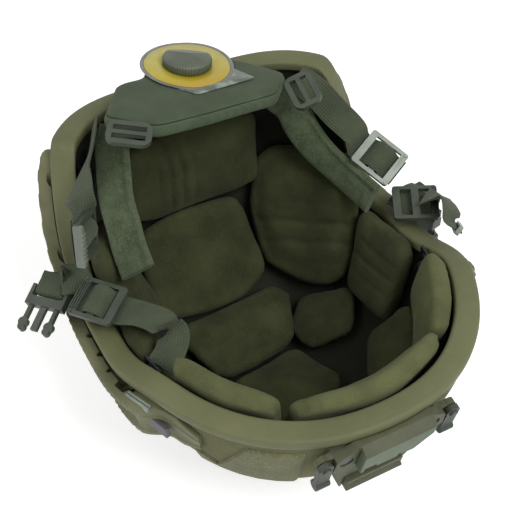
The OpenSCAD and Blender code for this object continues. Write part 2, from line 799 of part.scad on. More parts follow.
module pad_side_right() {
    inner_pad(side_right_at, side_right_corners, pad_t);
}
module pad_side_left() {
    inner_pad(side_left_at, side_left_corners, pad_t);
}
module pad_crown_right() {
    inner_pad(crown_right_at, crown_right_corners, low_pad_t);
}
module pad_front_right() {
    inner_pad(front_right_at, front_right_corners, low_pad_t);
}
module pad_front_left() {
    inner_pad(front_left_at, front_left_corners, low_pad_t);
}
module hook_disc(at) {
    disc_r = 12;
    spokes = 12;
    near = shell_wall + disc_lift;
    function ring(d) = [for (i = [0:spokes - 1]) let (phi = i * 360 / spokes)
        pad_spot(at, disc_r * [cos(phi), sin(phi)], d)];
    spindle(
        pad_spot(at, [0, 0], near + disc_t),
        [ring(near + disc_t), ring(near)],
        pad_spot(at, [0, 0], near)
    );
}
module pad_discs() {
    color(steel_black) for (at = [rear_at, upper_rear_at, crown_at, front_crown_at, front_at,
        rear_right_at, rear_left_at, side_right_at, side_left_at, crown_right_at,
        front_right_at, front_left_at])
        hook_disc(at);
}

// Brow pads on the fit band
module brow_pad(at, corners) {
    color(brow_green) cushion(at, corners, brow_back, brow_pad_t);
}
module brow_pad_left() {
    brow_pad([-43, 77, 0], four_sided(67, 44, 0));
}
module brow_pad_front() {
    brow_pad([3, 78, 0], four_sided(101, 42, 0));
}
module brow_pad_right() {
    brow_pad([47, 76, 0], four_sided(63, 46, 0));
}

// Nape pad: a six-sided slab that lies over the nape of the rim, with the dial near its outer edge
dial_at = [2.3, 120.4, 17.8];
dial_up = [0.12, 0.06, 0.99];
housing_w = 46;
housing_d = 15;
housing_h = 9;
module dial_pose() {
    posed(near_nape(dial_at), [dial_up.z, 0, -dial_up.x], dial_up) children();
}
module nape_pad() {
    // Corners of the pad about the dial, counted along its length and across it
    corners = [[-0.5, -0.06], [-0.31, -0.03], [-0.25, 0.15], [0.01, 0.17], [0.25, 0.15], [0.33, 0.03],
        [0.461, -0.17], [0.58, -0.44], [0.41, -0.765], [0.2, -0.8], [-0.1, -0.86], [-0.45, -0.9],
        [-0.7, -0.56]];
    middle = [-0.06, -0.33];
    span = 0.79 * nape_w;
    function place(p, z) = [p.x * span, p.y * nape_h, z];
    function edge(f, z) = [for (c = corners) place(middle + (c - middle) * f, z)];
    color(nape_green) dial_pose() difference() {
        spindle(
            place(middle, 0),
            [
                edge(0.9, 0), edge(0.97, -1), edge(1, -3), edge(1, 3 - nape_t),
                edge(0.97, 1 - nape_t), edge(0.85, -nape_t - 0.3 * nape_crown),
                edge(0.55, -nape_t - 0.75 * nape_crown)
            ],
            place(middle, -nape_t - nape_crown)
        );
        translate([0, 0, -housing_h / 2])
            cube([housing_w + 0.8, housing_d + 0.8, housing_h + 0.8], center = true);
    }
}

// Dial: a housing with a pinion between two racks, a knob and the round card
rack_len = 24;
rack_w = 2.6;
rack_t = 3;
rack_gap = 0.35;
rack_y = pinion_r + rack_w / 2;
rack_z = -housing_h / 2 - 0.5;
pinion_h = 4;
neck_r = 6;
module dial_housing() {
    color(steel_black) dial_pose() difference() {
        translate([0, 0, -housing_h / 2]) cube([housing_w, housing_d, housing_h], center = true);
        translate([0, 0, rack_z])
            cylinder(r = pinion_r + 0.4, h = pinion_h + 1, center = true, $fn = 48);
        translate([0, 0, rack_z]) cylinder(r = neck_r + bore_gap, h = housing_h, $fn = 48);
        for (side = [-1, 1]) translate([0, side * rack_y, rack_z])
            cube([housing_w + 2, rack_w + 2 * rack_gap, rack_t + 2 * rack_gap], center = true);
    }
}
module dial_knob() {
    ribs = 36;
    dome_h = 2.6;
    color(clip_green) dial_pose() {
        translate([0, 0, 1.2]) difference() {
            union() {
                cylinder(r = knob_r, h = knob_h, $fn = 72);
                translate([0, 0, knob_h]) cylinder(r1 = knob_r, r2 = knob_r - 3, h = 1.2, $fn = 72);
                translate([0, 0, knob_h + 1]) rotate([0, 0, 35]) intersection() {
                    cylinder(r1 = knob_r - 2, r2 = knob_r - 8, h = dome_h, $fn = 72);
                    cube([2 * knob_r, 12, 2 * dome_h], center = true);
                }
            }
            for (i = [0:ribs - 1]) rotate([0, 0, i * 360 / ribs])
                translate([knob_r + 0.35, 0, -1]) cylinder(r = 0.8, h = knob_h, $fn = 16);
        }
        translate([0, 0, rack_z + pinion_h / 2])
            cylinder(r = neck_r, h = 1.4 - rack_z - pinion_h / 2, $fn = 48);
    }
}
module dial_pinion() {
    teeth = 10;
    color(steel_black) dial_pose() translate([0, 0, rack_z]) difference() {
        cylinder(r = pinion_r - 0.1, h = pinion_h, center = true, $fn = 48);
        for (i = [0:teeth - 1]) rotate([0, 0, i * 360 / teeth])
            translate([pinion_r, 0, 0]) cylinder(r = 0.5, h = pinion_h + 2, center = true, $fn = 16);
    }
}
module rack(side) {
    pitch = 2;
    teeth = floor(rack_len / pitch / 2) - 1;
    color("#3a3c3e") dial_pose() translate([0, side * rack_y, rack_z]) difference() {
        cube([rack_len, rack_w - 0.2, rack_t], center = true);
        for (i = [-teeth:teeth]) translate([i * pitch, -side * (rack_w / 2 - 0.1), 0])
            cylinder(r = 0.45, h = rack_t + 2, center = true, $fn = 16);
    }
}
module rack_left() {
    rack(-1);
}
module rack_right() {
    rack(1);
}
module dial_label() {
    card_t = 0.6;
    tail = [[-24, -16], [-9.4, -35], [34.4, -30], [26, -14]];
    color("#c9b44f") dial_pose() translate([0, 0, 0.3]) linear_extrude(card_t) difference() {
        union() {
            circle(label_r, $fn = 72);
            polygon(tail);
        }
        circle(neck_r + bore_gap, $fn = 48);
    }
}

// A plastic loop on each end of the nape pad
loop_w = 27;
loop_h = 19;
loop_wire = 3;
module nape_loop(o, x, z) {
    color(clip_green) posed(o, x, z) {
        linear_extrude(loop_wire, center = true) difference() {
            round_rect(loop_w, loop_h, 6);
            for (side = [-1, 1]) translate([0, side * 3.6])
                square([loop_w - 7, 4.2], center = true);
        }
    }
}
module nape_loop_left() {
    dial_pose() nape_loop([-63.25, -55.8, -3.5], [0.86, -0.5, -0.03], [0.04, -0.26, 0.96]);
}
module nape_loop_right() {
    dial_pose() nape_loop([59.7, -48.3, -3.5], [0.08, 0.96, 0.27], [-0.46, -0.25, 0.85]);
}

// A flat strap along hand-chosen points, each [place, direction of its width]
function strap_rows(stops, w, t, shape) = [for (i = [0:len(stops) - 1]) let (
    p = stops[i][0],
    before = stops[max(0, i - 1)][0],
    after = stops[min(len(stops) - 1, i + 1)][0],
    along = unit(after - before),
    face = unit(cross(along, stops[i][1])),
    side = cross(face, along)
) [for (s = shape) p + side * s.x * w / 2 + face * s.y * t / 2]];
flat_shape = [[1, 1], [-1, 1], [-1, -1], [1, -1]];
soft_shape = [[1, 0.4], [0.8, 1], [-0.8, 1], [-1, 0.4], [-1, -0.4], [-0.8, -1], [0.8, -1], [1, -0.4]];
module webbing(stops) {
    color(web_green) sweep(strap_rows(stops, strap_w, strap_t, flat_shape));
}
function placed(stops) = [for (s = stops) [near_rim(s[0]), s[1]]];

// A strap woven through a ladder lock that lies at o along x and faces z
rise = ladder_t / 2 + strap_t / 2 + 0.3;
mid_bar = 5;
slot_len = 7.5;
function woven(o, x, z) = let (w = cross(z, unit(x)),
    lift = [[-16, -rise], [-9.3, -rise], [-3.2, rise], [3.2, rise], [9.3, -rise], [16, -rise]]
) [for (s = lift) [in_pose(o, x, z, [s[0], 0, s[1]]), w]];
ladder_w = strap_w + 7;
module ladder_lock(o, x, z, tint) {
    color(tint) posed(o, x, z) {
        linear_extrude(ladder_t, center = true) difference() {
            round_rect(ladder_len, ladder_w, 2);
            for (side = [-1, 1]) translate([side * (mid_bar + slot_len) / 2, 0])
                square([slot_len, strap_w + 1.6], center = true);
        }
        for (side = [-1, 1]) translate([ladder_len / 2 - 2, side * (ladder_w / 2 - 1.5), 0])
            cylinder(r = 1.1, h = ladder_t + 1.6, center = true, $fn = 24);
    }
}
left_rear_lock = [near_rim([-101, 45, 49]), [-0.1, -0.18, -1], [0.75, -0.65, 0.1]];
left_front_lock = [near_rim([-106, 23.5, 14]), [-0.6, 0.75, -0.05], [-0.12, -0.2, 1]];
right_rear_lock = [near_rim([104, 39, 34]), [0.45, -0.75, -0.38], [-0.2, -0.5, 0.85]];
right_front_lock = [near_rim([114, 7, 15]), [0.85, -0.45, 0.05], [-0.1, -0.15, 1]];
module ladder_left_rear() {
    ladder_lock(left_rear_lock[0], left_rear_lock[1], left_rear_lock[2], clip_green);
}
module ladder_left_front() {
    ladder_lock(left_front_lock[0], left_front_lock[1], left_front_lock[2], clip_green);
}
module ladder_right_rear() {
    ladder_lock(right_rear_lock[0], right_rear_lock[1], right_rear_lock[2], pale_clip);
}
module ladder_right_front() {
    ladder_lock(right_front_lock[0], right_front_lock[1], right_front_lock[2], clip_green);
}

// Fleece neck pads, straps that hang from the nape loops
module neck_pad(stops) {
    color(fleece_green) sweep(strap_rows(placed(stops), neck_w, neck_t, soft_shape));
}
module neck_pad_left() {
    neck_pad([
        [[-59.5, 90.5, 80], [0.75, -0.5, 0.4]],
        [[-63, 92, 71], [0.75, -0.5, 0.4]],
        [[-67, 84, 56], [0.8, -0.45, 0.3]],
        [[-71, 73, 43], [0.85, -0.4, 0.3]],
        [[-73, 59, 33], [0.85, -0.4, 0.3]],
        [[-75, 45, 24], [0.85, -0.4, 0.35]],
        [[-76, 31, 18], [0.85, -0.4, 0.4]]
    ]);
}
module neck_pad_right() {
    neck_pad([
        [[55.5, 94, 66], [0.8, 0, 0.5]],
        [[63, 88, 57], [0.6, 0.1, 0.8]],
        [[67, 84, 45], [0.5, 0.1, 0.9]],
        [[73, 74, 32], [0.45, 0.05, 0.95]],
        [[80, 59, 23], [0.35, 0, 0.95]],
        [[86, 41, 18], [0.3, 0, 0.95]],
        [[89, 22, 17], [0.35, 0, 0.95]]
    ]);
}

// Chin strap webbing
module web_left_rear() {
    webbing(concat(placed([
        [[-69.5, 102, 81], [0.1, -0.4, 0.9]],
        [[-78, 88, 75], [0.2, -0.3, 0.9]],
        [[-90, 72, 72], [0.4, -0.3, 0.8]],
        [[-97, 58, 70], [0.6, -0.6, 0.5]]
    ]), woven(left_rear_lock[0], left_rear_lock[1], left_rear_lock[2])));
}
module web_left_chin() {
    webbing(concat(placed([
        [[-113, 40, 9.6], [-0.78, -0.6, -0.1]],
        [[-111, 47, 10], [-0.85, -0.5, -0.05]],
        [[-111, 53, 10], [-0.74, -0.65, 0]],
        [[-114.5, 57.5, 8.8], [-0.25, -0.95, 0.05]],
        [[-119, 58.8, 7], [0.33, -0.93, 0.1]]
    ]), buckle_loop(male_at, male_dir, male_face)));
}
module web_left_front() {
    webbing(concat(placed([
        [[-90, -34.5, 6], [0.7, -0.7, 0.1]],
        [[-83, -31, 11.5], [0.7, -0.7, 0.2]],
        [[-77, -23, 16], [0.8, -0.6, 0.1]],
        [[-80, -12, 18], [-0.9, -0.45, 0]],
        [[-87, 0, 16], [-0.85, -0.5, 0]]
    ]), woven(left_front_lock[0], left_front_lock[1], left_front_lock[2])));
}
module web_right_rear() {
    webbing(concat(placed([
        [[68, 92, 77], [0.3, 0.5, 0.8]],
        [[79, 84, 67], [0.4, 0.4, 0.8]],
        [[87, 71, 56], [0.6, 0.3, 0.7]],
        [[95, 56, 46], [0.8, 0.4, 0.4]]
    ]), woven(right_rear_lock[0], right_rear_lock[1], right_rear_lock[2])));
}
module web_right_loop() {
    webbing(placed([
        [[119, 5, 20], [0.95, 0.2, 0.12]],
        [[122.5, -1, 22.5], [0.85, 0.2, -0.3]],
        [[126.5, -8, 25.4], [0.7, 0.15, -0.7]],
        [[125, -17, 23], [0.79, -0.03, -0.61]],
        [[122.5, -20.5, 19], [0.75, 0.1, -0.63]],
        [[123.5, -24, 16.5], [0.66, 0.3, -0.66]],
        [[126, -28, 14], [0.6, 0.42, -0.66]]
    ]));
}
module web_right_chin() {
    webbing(concat(placed([
        [[104, 12, 9.5], [-0.3, 0.95, 0]],
        [[117, 17, 12], [-0.3, 0.95, 0]],
        [[128, 20, 10], [-0.25, 0.95, 0]],
        [[133, 21.5, 5], [-0.2, 0.95, 0.1]]
    ]), buckle_loop(female_at, female_dir, female_face)));
}
keeper_at = [near_rim([124.8, -26, 15.2]), [0.5, -0.76, -0.42], [0.68, 0.08, 0.66]];
module keeper_right() {
    color(pale_clip) posed(keeper_at[0], keeper_at[1], keeper_at[2]) rotate([0, 90, 0])
        linear_extrude(3, center = true) difference() {
            round_rect(strap_t + 5, strap_w + 5, 1.5);
            square([strap_t + 2, strap_w + 1.6], center = true);
        }
}

// Side-release buckle: each half turns on a bar inside the sewn end of its strap
male_at = near_rim([-126.5, 54, 2]);
male_dir = [-0.68, -0.62, -0.28];
male_face = [-0.3, -0.1, 0.95];
female_at = near_rim([135, 22, -8]);
female_dir = [0.05, 0.05, -1];
female_face = [1, 0.2, 0.1];
bar_r = 1.7;
// The end of a strap laid round a bar and sewn back on itself
function buckle_loop(o, x, z) = let (
    r = bar_r + 0.35 + strap_t / 2,
    w = cross(z, unit(x)),
    turn = [[-13, r], [-7, r], [0, r], [0.87 * r, 0.5 * r], [0.87 * r, -0.5 * r], [0, -r], [-6, -r]]
) [for (s = turn) [in_pose(o, x, z, [s[0], 0, s[1]]), w]];
arm_y = strap_w / 2 + 2.2;
module buckle_male() {
    body_t = 6;
    color(clip_green) posed(male_at, male_dir, male_face) {
        rotate([90, 0, 0]) cylinder(r = bar_r, h = 2 * arm_y, center = true, $fn = 32);
        for (side = [-1, 1]) translate([-3, side * arm_y - 1.2, -body_t / 2]) cube([12, 2.4, body_t]);
        translate([5, -arm_y - 1.2, -body_t / 2]) cube([6, 2 * arm_y + 2.4, body_t]);
        translate([10, -2.2, -1.4]) cube([17, 4.4, 2.8]);
        for (side = [-1, 1]) translate([0, side * 9.2, 0]) {
            translate([10, -1.3, -1.6]) cube([12, 2.6, 3.2]);
            translate([23, 0, 0]) linear_extrude(4, center = true) union() {
                circle(3.1, $fn = 32);
                translate([3.4, side * -0.4]) circle(2.4, $fn = 32);
                translate([-1, -2.2]) square([4.4, 4.2]);
            }
        }
    }
}
module buckle_female() {
    body_len = 30;
    body_w = 2 * arm_y + 2.4;
    body_t = 8.4;
    color(clip_green) posed(female_at, female_dir, female_face) {
        rotate([90, 0, 0]) cylinder(r = bar_r, h = 2 * arm_y, center = true, $fn = 32);
        for (side = [-1, 1]) translate([-3, side * arm_y - 1.2, -3]) cube([12, 2.4, 6]);
        translate([5, 0, 0]) difference() {
            translate([0, -body_w / 2, -body_t / 2]) cube([body_len, body_w, body_t]);
            translate([3, -body_w / 2 + 2, -body_t / 2 + 1.8])
                cube([body_len, body_w - 4, body_t - 3.6]);
            for (side = [-1, 1]) translate([13, side * body_w / 2, 0])
                cylinder(r = 5, h = body_t + 2, center = true, $fn = 40);
        }
    }
}

shell();
edge_trim();
loop_crown();
loop_fronts();
loop_rear();
rail_left();
rail_right();
rail_inserts();
strap_bolts();
strap_washers();
strap_anchors();
wall_nuts();
shroud_plate();
shroud_cover();
shroud_latch();
shroud_screws();
hook_left();
hook_right();
fit_band();
dial_housing();
dial_knob();
dial_pinion();
rack_left();
rack_right();
dial_label();
nape_pad();
nape_loop_left();
nape_loop_right();
brow_pad_left();
brow_pad_front();
brow_pad_right();
pad_rear();
pad_upper_rear();
pad_crown();
pad_front_crown();
pad_front();
pad_rear_right();
pad_rear_left();
pad_side_right();
pad_side_left();
pad_crown_right();
pad_front_right();
pad_front_left();
pad_discs();
neck_pad_left();
neck_pad_right();
web_left_rear();
web_left_front();
web_left_chin();
web_right_rear();
web_right_loop();
web_right_chin();
ladder_left_rear();
ladder_left_front();
ladder_right_rear();
ladder_right_front();
keeper_right();
buckle_male();
buckle_female();
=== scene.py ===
"""The looks of a combat helmet that lies on its crown, with its pads, dial and chin straps."""
import json
import math

import bmesh
import bpy
import numpy as np
from mathutils import Matrix, Vector, noise

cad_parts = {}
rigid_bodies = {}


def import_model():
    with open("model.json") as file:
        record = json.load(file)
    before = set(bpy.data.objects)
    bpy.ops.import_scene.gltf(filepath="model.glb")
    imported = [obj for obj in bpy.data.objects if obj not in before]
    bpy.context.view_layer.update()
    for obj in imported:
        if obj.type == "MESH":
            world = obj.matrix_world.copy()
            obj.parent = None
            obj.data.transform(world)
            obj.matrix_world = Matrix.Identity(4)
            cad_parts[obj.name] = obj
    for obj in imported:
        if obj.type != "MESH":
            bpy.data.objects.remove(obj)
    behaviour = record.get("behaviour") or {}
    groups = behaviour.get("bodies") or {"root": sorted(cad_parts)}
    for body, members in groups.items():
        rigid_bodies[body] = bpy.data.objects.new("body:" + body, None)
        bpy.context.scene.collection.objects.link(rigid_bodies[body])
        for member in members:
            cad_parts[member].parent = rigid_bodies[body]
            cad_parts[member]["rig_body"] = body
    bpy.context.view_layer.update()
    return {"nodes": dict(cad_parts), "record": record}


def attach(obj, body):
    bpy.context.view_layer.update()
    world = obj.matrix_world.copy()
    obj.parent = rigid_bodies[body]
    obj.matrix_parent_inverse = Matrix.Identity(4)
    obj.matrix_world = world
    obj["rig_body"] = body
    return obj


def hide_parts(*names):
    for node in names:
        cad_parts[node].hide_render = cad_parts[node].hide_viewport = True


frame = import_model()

scene = bpy.context.scene

# Everything is worked out in millimetres and brought to metres when a piece is made
MM = 0.001

# Shell, as its maker would size it
SHELL_L = 274
SHELL_W = 230
BOWL_H = 143
WALL_T = 9
BOWL_POWER = 2.13
FRONT_POWER = 2.2
REAR_POWER = 2.8
REAR_SWELL = 0.02
CROWN_Z = 1.6
DOME_Z = CROWN_Z + BOWL_H

# Rim heights above the crown and the azimuths where they change
BROW_H = 136
TEMPLE_H = 134
EAR_H = 109
LOBE_H = 188
NAPE_H = 181
TEMPLE_AT = 55
EAR_FROM = 92
EAR_TO = 118
LOBE_AT = 138

# Edge trim
TRIM_W = 14.8
TRIM_OUT = 3.2
TRIM_LEG = 10
TRIM_INNER_LEG = 8
TRIM_ROUND = 2.4
TRIM_SWELL = 0.5
TRIM_SINK = 0.3

# Loop panels: the front ones' upper edge drops to a V at an azimuth and rises again
PANEL_T = 1.7
PANEL_EDGE = 1.6
PANEL_SINK = 0.1
PANEL_TOP = 118
PANEL_FOOT = 52
V_FOOT = 76
V_END = 104
V_FROM = 34
V_AT = 43
V_TO = 55
CROWN_TILT = 15.2

# Rails
RAIL_T = 12
RAIL_END_T = 3
RAIL_H = 32
RAIL_DROP = 12
RAIL_FROM = 46
RAIL_TO = 143
RAIL_LIFT = 1.5
RAIL_FOOT = 0.12
CHANNEL_DEEP = 3.5
GROOVE_FROM = 62
GROOVE_W = 3.9
NOTCH_R = 1.9
NOTCH_AT = 84
NOTCH_STEP = 8.1
NOTCH_COUNT = 7
POCKET_FROM = 70.5
POCKET_TO = 77

# Fit band
BAND_T = 1.0
BAND_H = 28
BAND_BELOW_RIM = 5
BAND_TO = 64

# Straps
STRAP_W = 20
STRAP_T = 1.6
NECK_W = 23
NECK_T = 5
LOCK_T = 3.2
ROUTE_STEP = 1.6

# Dial
KNOB_R = 16
KNURLS = 54
KNURL_DEEP = 0.7
PEAK_H = 9.9
CARD_R = 30.5
CARD_RIM_W = 2.6


def unit(v):
    return Vector(v).normalized()


def lerp(a, b, t):
    return a + (b - a) * t


def clamp(x, low=0.0, high=1.0):
    return min(high, max(low, x))


def ease(t):
    return (1 - math.cos(math.pi * clamp(t))) / 2


def bump(x, at, half):
    """A smooth hump of height 1 at one place, gone past half on either side."""
    return 1 - ease(abs(x - at) / half)


def rough(p, size, seed=0.0):
    """Smooth noise from -1 to 1 whose lumps are about size across."""
    return noise.noise(Vector(p) / size + Vector((seed, -seed, 2 * seed)))


def fold(a):
    """An azimuth's distance from the brow, on either side."""
    return abs((a + 180) % 360 - 180)


def plan_r(a, d):
    """Radius of the plan at an azimuth in degrees, on the layer the depth d inside the skin."""
    c, s = math.cos(math.radians(a)), math.sin(math.radians(a))
    n = FRONT_POWER if c > 0 else REAR_POWER
    w = SHELL_W / 2 * (1 - REAR_SWELL * c) - d
    return (abs(s / w) ** n + abs(c / (SHELL_L / 2 - d)) ** n) ** (-1 / n)


def bowl(a, t, d):
    """A point of a layer, by azimuth and by tilt from straight down, both in degrees."""
    st, ct = math.sin(math.radians(t)), math.cos(math.radians(t))
    q = st / plan_r(a, d)
    v = max(0, ct) / (BOWL_H - d)
    r = (q ** BOWL_POWER + v ** BOWL_POWER) ** (-1 / BOWL_POWER)
    s, c = math.sin(math.radians(a)), math.cos(math.radians(a))
    return Vector((r * s * st, -r * c * st, DOME_Z - r * ct))


def wall_r(a, z, d):
    """The wall's radius at an azimuth and a height, at a depth under the skin."""
    c = clamp((DOME_Z - z) / (BOWL_H - d))
    return plan_r(a, d) * (1 - c ** BOWL_POWER) ** (1 / BOWL_POWER)


def wall(a, z, d):
    """A point of a layer by azimuth and height."""
    r = wall_r(a, z, d)
    return Vector((r * math.sin(math.radians(a)), -r * math.cos(math.radians(a)), z))


def tilt_to(a, z, d):
    """How far from straight down that place lies, seen from the dome's centre, in degrees."""
    return math.degrees(math.atan2(wall_r(a, z, d), DOME_Z - z))


def rim_z(a):
    """The rim's height at an azimuth."""
    t = fold(a)
    z = CROWN_Z + BROW_H + (TEMPLE_H - BROW_H) * ease(t / TEMPLE_AT)
    z += (EAR_H - TEMPLE_H) * ease((t - TEMPLE_AT) / (EAR_FROM - TEMPLE_AT))
    z += (LOBE_H - EAR_H) * ease((t - EAR_TO) / (LOBE_AT - EAR_TO))
    return z + (NAPE_H - LOBE_H) * ease((t - LOBE_AT) / (180 - LOBE_AT))


def pose(o, x, z):
    """A place with its X axis along x and its Z axis near z."""
    ux = unit(x)
    uy = Vector(z).cross(ux).normalized()
    uz = ux.cross(uy)
    return Matrix.Translation(Vector(o)) @ Matrix((ux, uy, uz)).transposed().to_4x4()


# Camera at the photograph's viewing angle
LENS_MM = 68.0
CAMERA_AT = Vector((-208.45, -377.02, 579.14))
LOOKS_AT = Vector((-14.14, -17.95, 151.6))
CAMERA_ROLL = math.radians(0.7)


def make_camera():
    data = bpy.data.cameras.new("camera")
    data.sensor_width = 36
    data.lens = LENS_MM
    data.clip_start, data.clip_end = 0.02, 20
    camera = bpy.data.objects.new("camera", data)
    scene.collection.objects.link(camera)
    turn = (LOOKS_AT - CAMERA_AT).to_track_quat("-Z", "Y").to_matrix()
    turn = turn @ Matrix.Rotation(CAMERA_ROLL, 3, "Z")
    camera.matrix_world = Matrix.Translation(CAMERA_AT * MM) @ turn.to_4x4()
    scene.camera = camera


# Materials


def linear(hex_colour, share=1.0):
    """An sRGB hex colour as the linear RGBA that sockets take, dimmed or raised by a share."""
    parts = [int(hex_colour[i:i + 2], 16) / 255 for i in (1, 3, 5)]
    tones = [c / 12.92 if c <= 0.04045 else ((c + 0.055) / 1.055) ** 2.4 for c in parts]
    return (*(min(1.0, c * share) for c in tones), 1.0)


def add(tree, kind, links, **settings):
    """Adds one node, with its settings and a value or an output for each socket in links."""
    made = tree.nodes.new("ShaderNode" + kind)
    for key, value in settings.items():
        setattr(made, key, value)
    for socket, value in links.items():
        if isinstance(value, bpy.types.NodeSocket):
            tree.links.new(value, made.inputs[socket])
        else:
            made.inputs[socket].default_value = value
    return made


# The sockets of a Mix node's two colours and of their mix
MIX_A, MIX_B, MIX_OUT = 6, 7, 2
# A Wave texture at scale 1 has about this many bands to a metre
WAVE_BANDS = 3.2
# How far the roughness of moulded nylon drifts over a face
GLOSS_DRIFT = 0.12
# The webbing's ribs and picks
RIB_MM = 1.7
PICK_MM = 1.1
# Where along the helmet the card's colour is deepest and most orange, and where it is plain
CARD_DEEP_Y = 95
CARD_PLAIN_Y = 122


class Finish:
    """A material in the making: its shader, what its patterns read, and the patterns all share."""

    def __init__(self, name, roughness, metallic=0.0, specular=0.5, sheen=0.0, coat=0.0):
        self.material = bpy.data.materials.new(name)
        self.material.use_nodes = True
        self.tree = self.material.node_tree
        self.shader = self.tree.nodes["Principled BSDF"]
        for socket, value in {"Roughness": roughness, "Metallic": metallic,
                              "Specular IOR Level": specular, "Sheen Weight": sheen,
                              "Sheen Roughness": 0.5, "Coat Weight": coat}.items():
            self.shader.inputs[socket].default_value = value
        coordinates = add(self.tree, "TexCoord", {})
        self.place = coordinates.outputs["Object"]
        self.along = coordinates.outputs["UV"]

    def drive(self, socket, output):
        """Lets a pattern drive one of the shader's sockets."""
        self.tree.links.new(output, self.shader.inputs[socket])

    def grains(self, size_mm, detail=3.0, harshness=0.55):
        """What a noise reads so that its grains are size_mm across."""
        return {"Vector": self.place, "Scale": 1 / (size_mm * MM),
                "Detail": detail, "Roughness": harshness}

    def patches(self, grains, low, high, ground, colour, share=1.0):
        """One colour over another where a noise climbs from low to high, covering a share at most."""
        noise_map = add(self.tree, "TexNoise", grains)
        cover = add(self.tree, "MapRange", {0: noise_map.outputs["Fac"], 1: low, 2: high})
        if share < 1:
            cover = add(self.tree, "Math", {0: cover.outputs[0], 1: share}, operation="MULTIPLY")
        both = {0: cover.outputs[0], MIX_A: ground, MIX_B: colour}
        return add(self.tree, "Mix", both, data_type="RGBA").outputs[MIX_OUT]

    def uneven_gloss(self, grains, spread, least):
        """Roughness that drifts with a noise, from least up by spread."""
        noise_map = add(self.tree, "TexNoise", grains)
        drift = add(self.tree, "Math", {0: noise_map.outputs["Fac"], 1: spread}, operation="MULTIPLY")
        whole = add(self.tree, "Math", {0: drift.outputs[0], 1: least}, operation="ADD")
        self.drive("Roughness", whole.outputs[0])

    def relief(self, grains, depth_mm, weave=None):
        """A bumpy skin of full height depth_mm, laid over a weave's own height if there is one."""
        height = add(self.tree, "TexNoise", grains).outputs["Fac"]
        if weave:
            height = add(self.tree, "Math", {0: weave, 1: height}, operation="ADD").outputs[0]
        skin = {"Height": height, "Distance": depth_mm * MM, "Strength": 1.0}
        self.drive("Normal", add(self.tree, "Bump", skin).outputs[0])


def sprayed_shell(name, dark, light, grit, depth_mm):
    """Moulded aramid with a gritty polyurethane coat: dead matt, with grit that shows as fine specks."""
    f = Finish(name, 0.85, specular=0.25)
    tone = f.patches(f.grains(38), 0.35, 0.65, linear(dark), linear(light))
    # The grit is about 0.5 mm and is drawn at 1.1 mm so that it shows
    f.drive("Base Color", f.patches(f.grains(1.1, 2.0), 0.55, 0.75, tone, linear(grit)))
    f.relief(f.grains(1.1, 4.0, 0.7), depth_mm)
    return f.material


def extruded_rubber():
    """Extruded EPDM edge trim: an even satin skin, a little paler where it is worn and dusty."""
    f = Finish("extruded_epdm_rubber", 0.62, specular=0.35)
    tone = f.patches(f.grains(55, 2.0), 0.3, 0.7, linear("#54563a"), linear("#606243"))
    f.drive("Base Color", f.patches(f.grains(7, 5.0, 0.65), 0.5, 0.8, tone, linear("#6a6b4c"), 0.35))
    f.uneven_gloss(f.grains(9, 4.0), 0.2, 0.5)
    f.relief(f.grains(0.9, 3.0), 0.04)
    return f.material


def brushed_loop():
    """Brushed nylon loop of hook-and-loop tape: a soft pile whose loops show as pale flecks."""
    f = Finish("brushed_nylon_loop", 0.95, specular=0.2, sheen=0.12)
    tone = f.patches(f.grains(12), 0.35, 0.65, linear("#5e5f43"), linear("#6d6e50"))
    # Loops of 0.6 mm are drawn at 1.2 mm so that they show
    f.drive("Base Color", f.patches(f.grains(1.2, 3.0, 0.75), 0.52, 0.7, tone, linear("#8c8c6b")))
    f.relief(f.grains(1.2, 4.0, 0.8), 0.9)
    return f.material


def moulded(name, base, light, roughness, grain_mm=0.8, depth_mm=0.06):
    """Injection-moulded nylon: a fine spark-eroded grain, with slow drifts of tone and of gloss."""
    f = Finish(name, roughness, specular=0.4)
    f.drive("Base Color", f.patches(f.grains(16), 0.32, 0.68, linear(base), linear(light)))
    f.uneven_gloss(f.grains(5, 3.0), GLOSS_DRIFT, roughness - GLOSS_DRIFT / 2)
    f.relief(f.grains(grain_mm, 3.0), depth_mm)
    return f.material


def steel(name, dark, light, roughness):
    """Phosphated steel hardware: slightly crystalline, and bright where it is rubbed."""
    f = Finish(name, roughness, metallic=0.85)
    tone = f.patches(f.grains(2.5, 4.0), 0.4, 0.65, linear(dark), linear(light))
    f.drive("Base Color", f.patches(f.grains(6, 5.0, 0.7), 0.66, 0.72, tone, linear("#6d7072")))
    f.relief(f.grains(0.6, 3.0), 0.03)
    return f.material


def pressed_band():
    """Die-cut polyethylene band: glossy black, with faint scuffs along it."""
    f = Finish("die_cut_polyethylene", 0.22, specular=0.6, coat=0.2)
    drawn_out = add(f.tree, "Mapping", {"Vector": f.place, "Scale": (1, 1, 9)}).outputs[0]
    scuffs = {**f.grains(2.0, 4.0, 0.6), "Vector": drawn_out}
    f.drive("Base Color", f.patches(scuffs, 0.5, 0.75, linear("#0b0d0d"), linear("#23272a")))
    f.relief(f.grains(3.0, 3.0), 0.05)
    return f.material


def brushed_suede(name, dark, light, nap="#55583a"):
    """Brushed microfibre suede: no gloss, a fine mottle, and a nap that is paler in streaks."""
    f = Finish(name, 0.97, specular=0.12, sheen=0.04)
    tone = f.patches(f.grains(24, 3.0), 0.33, 0.68, linear(dark), linear(light))
    # The nap is 0.3 mm and is drawn at 0.9 mm so that it shows
    f.drive("Base Color", f.patches(f.grains(0.9, 4.0, 0.7), 0.5, 0.78, tone, linear(nap), 0.55))
    f.relief(f.grains(0.9, 4.0, 0.7), 0.16)
    return f.material


